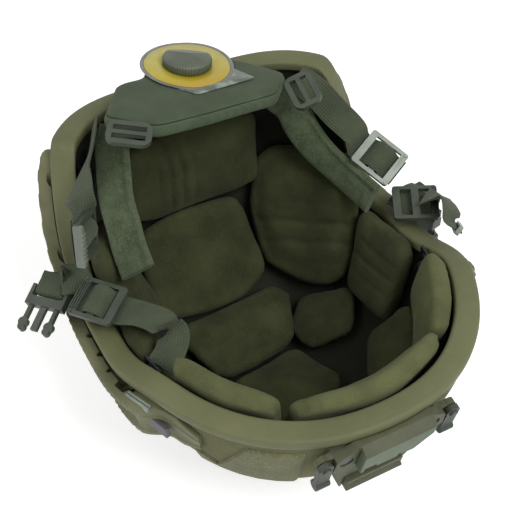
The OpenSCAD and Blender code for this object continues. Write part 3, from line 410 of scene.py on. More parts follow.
def plain_weave(name, dark, light, thread_mm, depth_mm):
    """Woven nylon cloth: crossing threads over a slow drift of tone."""
    f = Finish(name, 0.88, specular=0.2, sheen=0.06)
    tone = f.patches(f.grains(20, 3.0), 0.33, 0.67, linear(dark), linear(light))
    threads = {"Vector": f.place, "Scale": 1 / (thread_mm * MM) / WAVE_BANDS}
    warp = add(f.tree, "TexWave", threads, bands_direction="X").outputs["Fac"]
    weft = add(f.tree, "TexWave", threads, bands_direction="Y").outputs["Fac"]
    weave = add(f.tree, "Math", {0: warp, 1: weft}, operation="MULTIPLY").outputs[0]
    raised = add(f.tree, "Math", {0: weave, 1: 0.45}, operation="MULTIPLY").outputs[0]
    cloth = {0: raised, MIX_A: tone, MIX_B: linear(light, 1.5)}
    f.drive("Base Color", add(f.tree, "Mix", cloth, data_type="RGBA").outputs[MIX_OUT])
    f.relief(f.grains(1.1, 3.0), depth_mm, weave)
    return f.material


def looped_fleece():
    """Brushed polyester fleece: short clumped pile, greener and paler on its tips."""
    f = Finish("brushed_fleece", 0.98, specular=0.1, sheen=0.12)
    tone = f.patches(f.grains(9, 4.0), 0.35, 0.65, linear("#424b37"), linear("#535e46"))
    f.drive("Base Color", f.patches(f.grains(1.4, 4.0, 0.75), 0.5, 0.72, tone, linear("#68745a"), 0.8))
    f.relief(f.grains(1.4, 5.0, 0.75), 0.8)
    return f.material


def ribbed_webbing(name, dark, light):
    """Woven nylon webbing: ribs along it, fine picks across it, and a slight shine on the ribs."""
    f = Finish(name, 0.78, specular=0.3, sheen=0.1)
    split = add(f.tree, "SeparateXYZ", {"Vector": f.along})
    waves = []
    for axis, step_mm, share in ((0, RIB_MM, 0.5), (1, PICK_MM, 0.35)):
        turns = {0: split.outputs[axis], 1: 2 * math.pi / (step_mm * MM)}
        phase = add(f.tree, "Math", turns, operation="MULTIPLY").outputs[0]
        wave = add(f.tree, "Math", {0: phase}, operation="SINE").outputs[0]
        waves.append(add(f.tree, "Math", {0: wave, 1: share}, operation="MULTIPLY").outputs[0])
    weave = add(f.tree, "Math", {0: waves[0], 1: waves[1]}, operation="ADD").outputs[0]
    tone = f.patches(f.grains(14, 3.0), 0.33, 0.67, linear(dark), linear(light))
    raised = add(f.tree, "MapRange", {0: weave, 1: 0.0, 2: 0.85}).outputs[0]
    cloth = {0: raised, MIX_A: tone, MIX_B: linear(light, 1.22)}
    f.drive("Base Color", add(f.tree, "Mix", cloth, data_type="RGBA").outputs[MIX_OUT])
    f.relief(f.grains(0.8, 2.0), 0.22, weave)
    return f.material


def printed_card(name, base, tint, roughness, coat, deep=None):
    """Coated card with flat ink: smooth and glossy, with a deeper, more orange colour towards the brow if
    one is given.
    """
    f = Finish(name, roughness, specular=0.5, coat=coat)
    tone = f.patches(f.grains(11, 2.0), 0.35, 0.7, linear(base), linear(tint))
    if deep:
        split = add(f.tree, "SeparateXYZ", {"Vector": f.place})
        reach = {0: split.outputs[1], 1: CARD_DEEP_Y * MM, 2: CARD_PLAIN_Y * MM}
        fade = add(f.tree, "MapRange", reach).outputs[0]
        deepening = {0: fade, MIX_A: linear(deep), MIX_B: tone}
        tone = add(f.tree, "Mix", deepening, data_type="RGBA").outputs[MIX_OUT]
    f.drive("Base Color", tone)
    f.relief(f.grains(9, 2.0), 0.12)
    return f.material


def foil_tag():
    """Clear film over grey foil: glossy, with a few paler patches painted on as glints off its creases."""
    f = Finish("crinkled_foil", 0.42, metallic=0.1, specular=0.5, coat=0.3)
    # The paler patches are painted glints off the foil's creases, not a colour of the foil
    foil_with_painted_glints = f.patches(f.grains(8, 2.0, 0.5), 0.5, 0.78, linear("#4d554c"), linear("#8b948c"))
    f.drive("Base Color", foil_with_painted_glints)
    f.relief(f.grains(9, 2.0), 0.12)
    return f.material


def seen_directly(tree):
    """1 for what the camera, a reflection or glass sees, and 0 for the light on the object."""
    path = add(tree, "LightPath", {})
    rays = {0: path.outputs["Is Camera Ray"], 1: path.outputs["Is Glossy Ray"]}
    direct = add(tree, "Math", rays, operation="ADD").outputs[0]
    rays = {0: direct, 1: path.outputs["Is Transmission Ray"]}
    return add(tree, "Math", rays, operation="ADD", use_clamp=True).outputs[0]


def pale_floor():
    """White card floor: even and matt, white where it is seen, with the object's shadow kept."""
    f = Finish("white_card_floor", 0.9, specular=0.0)
    seen = seen_directly(f.tree)
    card = {0: seen, MIX_A: linear("#ffffff"), MIX_B: linear("#ffffff", 0.64)}
    f.drive("Base Color", add(f.tree, "Mix", card, data_type="RGBA").outputs[MIX_OUT])
    f.shader.inputs["Emission Color"].default_value = linear("#ffffff")
    glow = add(f.tree, "Math", {0: seen, 1: 0.6}, operation="MULTIPLY")
    f.drive("Emission Strength", glow.outputs[0])
    return f.material


LOOKS = {
    "shell_skin": sprayed_shell("sprayed_aramid_skin", "#55553a", "#636346", "#73734f", 0.18),
    "edge_rubber": extruded_rubber(),
    "loop_pile": brushed_loop(),
    "rail_plastic": moulded("glass_filled_nylon", "#58583d", "#66674a", 0.68),
    "insert_plastic": moulded("grey_nylon_insert", "#46464a", "#545458", 0.5),
    "black_steel": steel("phosphated_steel", "#1d1f20", "#34373a", 0.38),
    "shroud_polymer": moulded("shroud_nylon", "#3c3e2b", "#494b34", 0.6),
    "cover_plate": moulded("painted_cover_plate", "#43503a", "#505e44", 0.55, 1.2, 0.03),
    "hook_plastic": moulded("dark_hook_nylon", "#262c24", "#333b30", 0.52),
    "band_plastic": pressed_band(),
    "dial_black": moulded("black_acetal", "#16181a", "#202326", 0.4),
    "knob_plastic": moulded("green_grey_nylon_knob", "#434a3e", "#535a4b", 0.45, 0.7, 0.04),
    "card": printed_card("yellow_coated_card", "#a3972c", "#ada23c", 0.4, 0.2, "#a1871c"),
    "pad_suede": brushed_suede("brushed_suede_pad", "#2f3220", "#3f432b"),
    "brow_suede": brushed_suede("brushed_suede_brow", "#4a4d33", "#5a5d3e", "#6a6e4e"),
    "nape_cloth": plain_weave("woven_nape_cloth", "#384231", "#434d3b", 0.9, 0.14),
    "neck_fleece": looped_fleece(),
    "webbing": ribbed_webbing("ribbed_nylon_webbing", "#32382a", "#3f4733"),
    "clip_plastic": moulded("green_grey_acetal", "#343a31", "#40463b", 0.48, 0.7, 0.04),
    "pale_clip_plastic": moulded("pale_grey_acetal", "#6f776c", "#858d83", 0.38, 0.7, 0.03),
}
# Finishes of what shares a slot with another finish
EXTRA = {
    "shell_inside": sprayed_shell("bare_aramid_inside", "#16180f", "#1d2015", "#23261a", 0.1),
    "card_rim": printed_card("grey_coated_card", "#5b5b58", "#6b6b66", 0.4, 0.3),
    "tag": foil_tag(),
    # Washer steel: a paler copy of the phosphated steel, so the bright rims of the washers are a painted
    # highlight
    "steel_with_painted_highlight": steel("steel_with_painted_highlight", "#5c5f60", "#8a8d8e", 0.3),
    "grip": moulded("grey_green_grip", "#5b6258", "#6b7268", 0.42, 0.7, 0.03),
    "pipe": plain_weave("woven_piping_cloth", "#3d4835", "#485440", 0.8, 0.1),
    "dark_seam": moulded("dark_seam_thread", "#23271b", "#2c3122", 0.9),
}


# Mesh helpers


def laid(columns, rows, place):
    """A grid drawn over place(u, v), with u and v from 0 to 1, and welded where its edges meet."""
    bm = bmesh.new()
    bmesh.ops.create_grid(bm, x_segments=columns, y_segments=rows, size=0.5)
    for v in bm.verts:
        v.co = place(v.co.x + 0.5, v.co.y + 0.5)
    bmesh.ops.remove_doubles(bm, verts=bm.verts, dist=0.005)
    bmesh.ops.dissolve_degenerate(bm, dist=0.001, edges=bm.edges)
    return bm


def capped(bm):
    """Closes the open ends and turns every face outwards."""
    ends = [e for e in bm.edges if e.is_boundary]
    if ends:
        bmesh.ops.holes_fill(bm, edges=ends, sides=0)
    bmesh.ops.recalc_face_normals(bm, faces=bm.faces)
    return bm


def cad_copy(node):
    """A node's mesh in millimetres, with its loose triangles joined."""
    bm = bmesh.new()
    bm.from_mesh(frame["nodes"][node].data)
    bmesh.ops.scale(bm, vec=(1 / MM,) * 3, verts=bm.verts)
    bmesh.ops.remove_doubles(bm, verts=bm.verts, dist=0.002)
    return bm


def body_of_node(node):
    return frame["nodes"][node]["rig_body"]


def piece(name, bm, slot, look=None, nodes=(), body="helmet", sharp=None, levels=0):
    """Makes a piece from a bmesh in millimetres, with its finish, its body and its nodes."""
    bmesh.ops.scale(bm, vec=(MM,) * 3, verts=bm.verts)
    mesh = bpy.data.meshes.new(name)
    bm.to_mesh(mesh)
    bm.free()
    mesh.shade_smooth()
    if sharp:
        mesh.set_sharp_from_angle(angle=math.radians(sharp))
    mesh.materials.append(look or LOOKS[slot])
    made = bpy.data.objects.new(name, mesh)
    scene.collection.objects.link(made)
    if levels:
        subdivision = made.modifiers.new("rounding", "SUBSURF")
        subdivision.levels = subdivision.render_levels = levels
    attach(made, body)
    if nodes:
        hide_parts(*nodes)
    return made


def rounded(node, slot, width):
    """A copy of a rigid node whose sharp edges are rounded as a mould rounds them."""
    bm = cad_copy(node)
    flat = math.radians(0.6)
    bmesh.ops.dissolve_limit(bm, angle_limit=flat, verts=bm.verts, edges=bm.edges)
    body = body_of_node(node)
    made = piece(node + "_moulded", bm, slot, nodes=(node,), body=body, sharp=35)
    edges = made.modifiers.new("edges", "BEVEL")
    edges.width = width * MM
    edges.segments = 3
    edges.limit_method = "ANGLE"
    edges.angle_limit = math.radians(28)
    edges.use_clamp_overlap = True
    edges.harden_normals = False


def block(bm, centre, size, round_by, place):
    """Adds a box with rounded edges to a bmesh, at a place."""
    verts = bmesh.ops.create_cube(bm, size=1.0)["verts"]
    bmesh.ops.scale(bm, vec=size, verts=verts)
    bmesh.ops.translate(bm, vec=centre, verts=verts)
    bmesh.ops.transform(bm, matrix=place, verts=verts)
    edges = list({e for v in verts for e in v.link_edges})
    bmesh.ops.bevel(bm, geom=edges, offset=round_by, segments=2, affect="EDGES",
                    profile=0.5, material=-1, clamp_overlap=True)


# Shell and rim


def make_shell():
    """One closed bowl: out from the crown to the edge, over it, and back up the inside."""
    columns, rows = 180, 52
    below_rim = 3

    def place(u, v):
        a = 360 * u
        outer = v < 0.5
        k = 2 * v if outer else 2 * (1 - v)
        d = 0 if outer else WALL_T
        return bowl(a, tilt_to(a, rim_z(a) - below_rim, d) * k, d)

    bm = capped(laid(columns, rows, place))
    skin = piece("shell_skin", bm, "shell_skin", nodes=("shell",), sharp=50)
    skin.data.materials.append(EXTRA["shell_inside"])
    middle = Vector((0, 0, DOME_Z * MM))
    for f in skin.data.polygons:
        f.material_index = int(f.normal.dot(f.center - middle) < 0)


def rounded_profile(corners, radius, steps):
    """A closed outline with its corners rounded, as evenly followed points."""
    points = []
    count = len(corners)
    for i in range(count):
        p = Vector(corners[i])
        before = unit(Vector(corners[i - 1]) - p)
        after = unit(Vector(corners[(i + 1) % count]) - p)
        r = min(radius, (Vector(corners[i - 1]) - p).length * 0.45,
                (Vector(corners[(i + 1) % count]) - p).length * 0.45)
        for k in range(steps + 1):
            t = k / steps
            start, end = p + before * r, p + after * r
            points.append((1 - t) ** 2 * start + 2 * t * (1 - t) * p + t * t * end)
    return points


def make_trim():
    """The rubber edge band: a broad rounded top over two legs."""
    inner = TRIM_W - TRIM_OUT
    middle = lerp(-TRIM_OUT, inner, 0.5)
    # Where the legs lie against the shell's two faces
    outside, inside = -0.15, WALL_T + 0.45
    corners = [(-1.2, -TRIM_LEG), (-TRIM_OUT, -6.5), (-TRIM_OUT, 0), (inner, 0), (inner, -6.2),
               (inside, -TRIM_INNER_LEG), (inside, -3.0), (outside, -3.0), (outside, -TRIM_LEG)]
    profile = rounded_profile([(x, y, 0) for x, y in corners], TRIM_ROUND, 4)
    count = len(profile)

    def place(u, v):
        a = 360 * u
        x, y, _ = profile[round(v * count) % count]
        swell = TRIM_SWELL * bump(x, middle, 8) if y > -0.5 else 0
        return wall(a, rim_z(a) + y + swell - TRIM_SINK, x)

    bm = capped(laid(288, count, place))
    piece("edge_trim_band", bm, "edge_rubber", nodes=("edge_trim",))


# Hook-and-loop panels


def make_panel(name, a_from, a_to, top, foot, nodes=()):
    """A panel of loop tape on the skin, domed a little and rounded at its edge."""
    # How much of the skin a degree takes up
    mm_a_degree = 2.2
    least_lift, pile = 0.05, 0.12

    def place(u, v):
        a = lerp(a_from, a_to, u)
        z = lerp(foot, top(a), v)
        from_side = min(u, 1 - u) * abs(a_to - a_from) * mm_a_degree
        from_end = min(v, 1 - v) * (top(a) - foot)
        lift = PANEL_T * ease(min(from_side, from_end) / PANEL_EDGE) - PANEL_SINK
        return wall(a, z, -max(lift, least_lift) - pile * rough((a, z, 0), 3))

    piece(name, laid(60, 60, place), "loop_pile", nodes=nodes)


def front_top(a):
    """The upper edge of the front panels, with its V."""
    t = abs(a)
    cut = PANEL_TOP
    if t >= V_AT:
        cut = lerp(V_FOOT, V_END, (t - V_AT) / (V_TO - V_AT))
    elif t >= V_FROM:
        cut = lerp(PANEL_TOP, V_FOOT, (t - V_FROM) / (V_AT - V_FROM))
    return min(CROWN_Z + cut, rim_z(a) - TRIM_LEG - 1)


def make_panels():
    """The crown's round panel, two panels in front, and one behind."""

    def crown(u, v):
        return bowl(360 * u, CROWN_TILT * v, -2.2 + 2.1 * ease((v - 0.93) / 0.07))

    bm = laid(72, 24, crown)
    for v in bm.verts:
        v.co.z = max(0, v.co.z)
    bmesh.ops.recalc_face_normals(bm, faces=bm.faces)
    piece("loop_crown_pile", bm, "loop_pile", nodes=("loop_crown",))
    make_panel("loop_front_left", -50, -20, front_top, PANEL_FOOT, ("loop_fronts",))
    make_panel("loop_front_right", 20, 50, front_top, PANEL_FOOT)
    make_panel("loop_rear_pile", 154, 206, lambda a: 150, 92, ("loop_rear",))


# Rails


def rail_depth(t):
    """How far a rail stands out at a number of degrees from the brow."""
    rise_at, rise_over, fall_past, fall_over = 55, 11, 4, 16
    full = ease((t - rise_at) / rise_over) * ease((RAIL_TO + fall_past - t) / fall_over)
    return lerp(RAIL_END_T, RAIL_T, full)


def make_rail(side, name, node):
    """A side rail: a channel along its face, a notched groove beside the rim, and a pocket."""
    notches = [NOTCH_AT + NOTCH_STEP * k for k in range(NOTCH_COUNT)]
    mm_a_degree = 2.1
    groove_over, rib_h, rib_from, rib_rate = 8, 0.5, 78, 2.2
    channel_from, channel_over = 60, 10
    notch_stretch, pocket_w, pocket_edge = 1.3, 3.6, 0.5

    def section(a):
        """The rail's outline at an azimuth: how far out, and how high as a part of half its height."""
        begun = ease((a - GROOVE_FROM) / groove_over)
        rib = rib_h * begun * ease(0.5 + 1.5 * math.sin((a - rib_from) * rib_rate))
        out = rail_depth(a) + rib
        dip = rail_depth(a) - CHANNEL_DEEP * ease((a - channel_from) / channel_over)
        near = min(abs(a - n) for n in notches) * mm_a_degree
        notch = math.sqrt(max(0, NOTCH_R ** 2 - near ** 2)) * notch_stretch
        pocket = clamp((a - POCKET_FROM) / pocket_edge) * clamp((POCKET_TO - a) / pocket_edge)
        groove = RAIL_FOOT + GROOVE_W * begun + notch + pocket_w * pocket
        floor = 1 - 0.3 * begun - 0.1 * pocket
        return [(RAIL_FOOT, floor), (groove, floor), (groove + 0.2, 1), (out - 1.5, 1),
                (out - 0.5, 0.985), (out, 0.93), (out, 0.6), (out - 0.4, 0.56), (dip + 0.3, 0.44),
                (dip, 0.4), (dip, -0.4), (dip + 0.3, -0.44), (out - 0.4, -0.56), (out, -0.6),
                (out, -0.93), (out - 0.5, -0.985), (out - 1.5, -1), (RAIL_FOOT, -1)]

    count = len(section(RAIL_TO))

    def place(u, v):
        a = lerp(RAIL_FROM, RAIL_TO, u)
        ends = min(1, (a - RAIL_FROM + 4) / 10, (RAIL_TO - a + 3) / 9)
        mid = rim_z(a) - RAIL_DROP - RAIL_H / 2
        half = RAIL_H / 2 * ends
        d, h = section(a)[round(v * count) % count]
        return wall(side * a, mid + half * h + RAIL_LIFT * max(0, h), -d)

    piece(name, capped(laid(420, count, place)), "rail_plastic", nodes=(node,), sharp=38)


def make_rail_bars(side, name):
    """A pale double bar let into the rail's top beside the rim."""
    bm = bmesh.new()
    for near, wide in ((4.6, 1.5), (6.7, 1.7)):
        far = near + wide
        corners = [(near, -1.5), (near, 0.9), (near + 0.3, 1.2), (far - 0.3, 1.2), (far, 0.9),
                   (far, -1.5)]
        count = len(corners)

        def place(u, v):
            a = lerp(60, 69.5, u)
            d, z = corners[round(v * count) % count]
            return wall(side * a, rim_z(a) - RAIL_DROP + RAIL_LIFT + z, -d)

        bar = capped(laid(24, count, place))
        mesh = bpy.data.meshes.new("bar")
        bar.to_mesh(mesh)
        bar.free()
        bm.from_mesh(mesh)
        bpy.data.meshes.remove(mesh)
    piece(name, bm, "rail_plastic", LOOKS["pale_clip_plastic"], sharp=30)


def make_rails():
    """Both rails with their bars and inserts."""
    make_rail(-1, "rail_left_moulded", "rail_left")
    make_rail(1, "rail_right_moulded", "rail_right")
    make_rail_bars(-1, "rail_bars_left")
    make_rail_bars(1, "rail_bars_right")
    rounded("rail_inserts", "insert_plastic", 0.5)


# Fasteners and the fit band


def make_hardware():
    """The fasteners and the pads' hook discs keep the shapes of their solids."""
    for node in ("strap_bolts", "strap_anchors", "wall_nuts", "shroud_screws", "pad_discs"):
        dress(node, "black_steel")
    # The washers take the paler steel, a painted highlight on their rims
    dress("strap_washers", "black_steel", EXTRA["steel_with_painted_highlight"])


def dress(node, slot, look=None):
    """Gives a node that stays as it is its material."""
    shown = frame["nodes"][node]
    shown.data.materials.clear()
    shown.data.materials.append(look or LOOKS[slot])


def make_band():
    """The fit band: a thin glossy strip that follows the rim's inside."""
    deep = TRIM_W - TRIM_OUT + 1

    def place(u, v):
        a = lerp(-BAND_TO, BAND_TO, u)
        top = rim_z(a) - BAND_BELOW_RIM
        foot = top - BAND_H
        ripple = 0.12 * rough((a, v, 0), 9)
        if v < 0.5:
            return wall(a, lerp(foot, top, 2 * v), deep + ripple)
        return wall(a, lerp(top, foot, 2 * v - 1), deep + BAND_T + ripple)

    bm = capped(laid(160, 24, place))
    piece("fit_band_strip", bm, "band_plastic", nodes=("fit_band",), sharp=50)


# Shroud


def make_shroud():
    """The front shroud with its cover, latch and cord hooks."""
    rounded("shroud_plate", "shroud_polymer", 0.6)
    rounded("shroud_cover", "cover_plate", 0.5)
    rounded("shroud_latch", "shroud_polymer", 0.4)
    rounded("hook_left", "hook_plastic", 0.6)
    rounded("hook_right", "hook_plastic", 0.6)


# Pads

PAD_REACH = 108
# Each pad's azimuth, its tilt from straight down and its turn, in degrees
PADS = {
    "pad_rear": (-178, 80, 0), "pad_upper_rear": (-171, 45.5, 7), "pad_crown": (-171, 15, 4),
    "pad_front_crown": (6, 13, -4), "pad_front": (0, 39, 0), "pad_rear_right": (131, 56, -13),
    "pad_rear_left": (-127, 62, 8), "pad_side_right": (89.5, 55, -8), "pad_side_left": (-89, 55, 8),
    "pad_crown_right": (101, 25, 0), "pad_front_right": (53, 47, 0), "pad_front_left": (-52, 43, 0),
    "brow_pad_left": (-43, 77, 0), "brow_pad_front": (3, 78, 0), "brow_pad_right": (47, 76, 0),
}
# The cloth simulation's length, the grid of its covers and the push from inside
FRAMES = 20
VOXEL = 3.0
PRESSURE = 4.0
# How far a solid is drawn in before it is blown up, and the most that its cover then swells
PAD_SHRINK = 0.1
PAD_SWELL = 2.4
# How far the foam fills a cover's shoulders, how much they face the head where that is
# greatest, and how far from there it ends
SHOULDER = 2.6
SHOULDER_AT = 0.35
SHOULDER_HALF = 0.8
BROW_LEAN = 0.9


def pad_axes(at):
    """A pad's directions out of the shell, round it and up it."""
    a, t = math.radians(at[0]), math.radians(at[1])
    down = Vector((math.sin(a) * math.sin(t), -math.cos(a) * math.sin(t), -math.cos(t)))
    across = Vector((math.cos(a), math.sin(a), 0))
    up = Vector((math.sin(a) * math.cos(t), -math.cos(a) * math.cos(t), math.sin(t)))
    return down, across, up


def pad_place(at, p):
    """Where a point lies on its pad: across it and up it."""
    down, across, up = pad_axes(at)
    v = p - Vector((0, 0, DOME_Z))
    v = v / v.length
    x = math.asin(clamp(v.dot(across), -1, 1)) * PAD_REACH
    y = math.atan2(v.dot(up), v.dot(down)) * PAD_REACH
    turn = math.radians(-at[2])
    return x * math.cos(turn) - y * math.sin(turn), x * math.sin(turn) + y * math.cos(turn)


def gathers(x, y, spacing, depth, at, half):
    """Creases that run up a pad, deepest round one place and gone past half."""
    sway = 2.2 * rough((0, y, 3), 22)
    crest = 0.5 + 0.5 * math.cos(2 * math.pi * (x + sway) / spacing)
    return -depth * bump(x, at, half) * crest ** 3


def creases(node, p, x, y):
    """How far a point of a pad's cover moves out of it, in millimetres."""
    slow = 0.55 * rough(p, 26, 1.0) + 0.22 * rough(p, 9, 2.0)
    if node == "pad_rear":
        return slow + gathers(x, y, 9, 3.4, 14, 24) * ease((y + 34) / 20)
    if node == "pad_rear_right":
        return slow + gathers(y, x, 15, 1.5, -8, 34)
    if node == "pad_side_right":
        return slow + gathers(y, x, 13, 1.1, 0, 26)
    if node == "pad_rear_left":
        return slow + gathers(x, y, 10, 1.2, 0, 20)
    return slow


def soft_start(node):
    """A copy of a pad's solid, drawn in a little and remeshed evenly."""
    bm = cad_copy(node)
    bm.normal_update()
    moves = [(v, v.normal.copy()) for v in bm.verts]
    for v, n in moves:
        v.co -= n * PAD_SHRINK
    made = piece(node + "_cover", bm, slot_of(node), nodes=(node,), body=body_of_node(node))
    remesh = made.modifiers.new("remesh", "REMESH")
    remesh.mode = "VOXEL"
    remesh.voxel_size = VOXEL * MM
    settle(made)
    return made


def settle(made):
    """Applies a piece's modifiers as they stand at the present frame."""
    graph = bpy.context.evaluated_depsgraph_get()
    mesh = bpy.data.meshes.new_from_object(made.evaluated_get(graph), depsgraph=graph)
    old = made.data
    made.modifiers.clear()
    made.data = mesh
    mesh.name = made.name
    bpy.data.meshes.remove(old)


def slot_of(node):
    """The record's material slot for a node."""
    return next(s["material_slot"] for s in frame["record"]["subparts"] if s["node"] == node)


def points_of(mesh):
    """A mesh's points as rows of numbers."""
    co = np.zeros(len(mesh.vertices) * 3)
    mesh.vertices.foreach_get("co", co)
    return co.reshape(-1, 3)


def blow(pieces):
    """Swells the pads by cloth simulation, all at once, and returns where their points went."""
    for made in pieces:
        cloth = made.modifiers.new("cloth", "CLOTH")
        cloth.settings.use_pressure = True
        cloth.settings.uniform_pressure_force = PRESSURE
        cloth.settings.quality = 5
        cloth.settings.effector_weights.gravity = 0
        cloth.settings.tension_stiffness = 12
        cloth.settings.compression_stiffness = 8
        cloth.settings.bending_stiffness = 0.6
        cloth.point_cache.frame_start, cloth.point_cache.frame_end = 1, FRAMES
    for step in range(1, FRAMES + 1):
        scene.frame_set(step)
    graph = bpy.context.evaluated_depsgraph_get()
    ends = {}
    for made in pieces:
        ends[made.name] = points_of(made.evaluated_get(graph).data)
        made.modifiers.clear()
    scene.frame_set(1)
    return ends


def make_pads():
    """Suede pads: blown up from their solids, evened, subdivided and creased."""
    pieces = {node: soft_start(node) for node in PADS}
    ends = blow(list(pieces.values()))
    middle = np.array([0, 0, DOME_Z * MM])
    for node, made in pieces.items():
        start = points_of(made.data)
        if made.name in ends:
            # The backing board holds the outline, so the cover only swells towards the head
            inwards = middle - start
            inwards /= np.linalg.norm(inwards, axis=1, keepdims=True)
            swell = np.sum((ends[made.name] - start) * inwards, axis=1, keepdims=True)
            swollen = start + inwards * np.clip(swell, 0, PAD_SWELL * MM)
            made.data.vertices.foreach_set("co", swollen.ravel())
        smooth = made.modifiers.new("evening", "SMOOTH")
        smooth.factor, smooth.iterations = 0.5, 2
        subdivision = made.modifiers.new("rounding", "SUBSURF")
        subdivision.levels = subdivision.render_levels = 1
        settle(made)
        crease(made, node)
        made.data.shade_smooth()


def drawn_over(node, x, y):
    """How far a pad's cover is drawn over towards its neighbours."""
    _, across, up = pad_axes(PADS[node])
    if node == "pad_rear_right":
        return across * 5 * ease(x / 34) + up * 7 * ease((y - 8) / 34)
    if node == "pad_upper_rear":
        return across * -3 * ease(-x / 36)
    if node == "pad_rear":
        return across * -3 * ease(-x / 40)
    return Vector((0, 0, 0))


def crease(made, node):
    """Moves the points of a pad's cover by its creases, towards or away from the head."""
    at = PADS[node]
    middle = Vector((0, 0, DOME_Z))
    normals = [v.normal.copy() for v in made.data.vertices]
    for v, normal in zip(made.data.vertices, normals):
        p = v.co / MM
        x, y = pad_place(at, p)
        inwards = (middle - p).normalized()
        facing = clamp(normal.dot(inwards))
        # The foam fills the cover out to its shoulders, so that neighbours nearly meet
        full = SHOULDER * bump(normal.dot(inwards), SHOULDER_AT, SHOULDER_HALF)
        lift = creases(node, p, x, y) * facing
        if node.startswith("brow"):
            # The brow pads lean on the band along their upper edge
            lift -= BROW_LEAN * ease((y - 6) / 12) * (1 - facing)
        v.co += (inwards * lift + normal * full + drawn_over(node, x, y)) * MM


# Nape pad and dial

DIAL_AT = (2.3, 120.4, 198.8 + CROWN_Z)
DIAL_UP = (0.12, 0.06, 0.99)
DIAL = pose(DIAL_AT, (DIAL_UP[2], 0, -DIAL_UP[0]), DIAL_UP)
NAPE_W = 129
NAPE_DEEP = 62
NAPE_CORNERS = [(-0.5, -0.06), (-0.31, -0.03), (-0.25, 0.15), (0.01, 0.17), (0.25, 0.15),
                (0.33, 0.03), (0.461, -0.17), (0.58, -0.44), (0.41, -0.765), (0.2, -0.8),
                (-0.1, -0.86), (-0.45, -0.9), (-0.7, -0.56)]
NAPE_MIDDLE = Vector((-0.06, -0.33, 0))
TAG_CORNERS = [(-26, -14, 0), (-9.4, -35, 0), (34.4, -30, 0), (27, -12, 0), (0, -8, 0)]
TAG_MIDDLE = Vector((4, -21, 0))


def make_nape_pad():
    """The nape pad: a woven top, a seam, a piped side band, and a soft underside."""
    outline = rounded_profile([(x, y, 0) for x, y in NAPE_CORNERS], 0.07, 8)
    span = 0.79 * NAPE_W
    # Each row is how far out it lies as a part of the outline, and its height over the dial's foot
    rows = [(0, -0.2), (0.3, -0.2), (0.55, -0.2), (0.75, -0.3), (0.88, -0.7), (0.945, -1.2),
            (0.972, -1.8), (0.985, -2.3), (0.972, -2.9), (0.985, -3.3), (1.0, -4.4), (1.004, -6.5),
            (1.0, -9), (0.985, -10.6), (0.97, -11.4), (0.945, -12.0), (0.85, -13), (0.55, -14.4),
            (0, -15)]
    seam_foot, seam_top = -3.2, -2.2
    side_on_below = 0.75
    count = len(outline)

    def place(u, v):
        share, z = rows[round(v * (len(rows) - 1))]
        p = NAPE_MIDDLE + (outline[round(u * count) % count] - NAPE_MIDDLE) * share
        p = Vector((p.x * span, p.y * NAPE_DEEP, z))
        dent = 0.5 * rough((p.x, p.y, 0), 17, 4.0) + 0.25 * rough((p.x, p.y, z), 7, 5.0)
        # The top stays level under the card
        dent *= clamp((p.xy.length - CARD_R) / 12) if z > -2 else 0.3
        return DIAL @ (p + Vector((0, 0, dent)))

    bm = capped(laid(count, len(rows) - 1, place))
    pad = piece("nape_pad_cover", bm, "nape_cloth", nodes=("nape_pad",), levels=1)
    settle(pad)
    pad.data.materials.append(EXTRA["pipe"])
    pad.data.materials.append(EXTRA["dark_seam"])
    flat = DIAL.to_3x3().col[2]
    to_dial = DIAL.inverted()
    for f in pad.data.polygons:
        z = (to_dial @ (f.center / MM)).z
        side_on = abs(f.normal.dot(flat)) < side_on_below
        f.material_index = 2 if side_on and seam_foot < z < seam_top else int(side_on)


def make_knob():
    """The knob: a knurled side, and a top that rises to a low peak."""
    profile = [(0, -4.4), (6, -4.4), (6, 1.3), (KNOB_R - 0.8, 1.3), (KNOB_R, 1.9), (KNOB_R, 5.9),
               (KNOB_R - 0.5, 6.7), (KNOB_R - 1.8, 7.6), (KNOB_R - 3.4, 8.2), (10, 8.8), (7, 9.3),
               (4, 9.7), (2, 9.9), (0, 10)]
    fall_behind, fall_aside, fall_before = 0.42, 0.19, 0.13
    turned, top_floor, softness = 0.5, 1.6, 0.5

    def place(u, v):
        r, z = profile[round(v * (len(profile) - 1))]
        t = 2 * math.pi * u
        if r > KNOB_R - 1.2:
            share = 1 if 1.5 < z < 6.2 else 0.3
            r -= KNURL_DEEP * (0.5 + 0.5 * math.cos(KNURLS * t)) * share
        x, y = r * math.cos(t), r * math.sin(t)
        behind = y * math.cos(turned) + x * math.sin(turned)
        fall = max(fall_behind * behind, fall_aside * abs(x), -fall_before * y)
        top = max(PEAK_H - fall, top_floor)
        # The lower of the two, with the edge between them softened
        return DIAL @ Vector((x, y, (z + top - math.hypot(z - top, softness)) / 2))

    bm = capped(laid(6 * KNURLS, len(profile) - 1, place))
    piece("dial_knob_grip", bm, "knob_plastic", nodes=("dial_knob",), body="dial", sharp=60)


def card_ring(r_in, r_out, low, high):
    """A flat ring of the card between two radii, which sags and rises a little round its edge."""
    edge = r_out - 0.15
    rings = [(r_in, high), (edge, high), (r_out, (low + high) / 2), (edge, low), (r_in, low)]

    def place(u, v):
        r, z = rings[round(v * len(rings)) % len(rings)]
        t = 2 * math.pi * u
        bend = 0.8 * (r / CARD_R) ** 3 * math.sin(2 * t + 0.7)
        return DIAL @ Vector((r * math.cos(t), r * math.sin(t), z + max(bend, -0.1)))

    return capped(laid(120, len(rings), place))


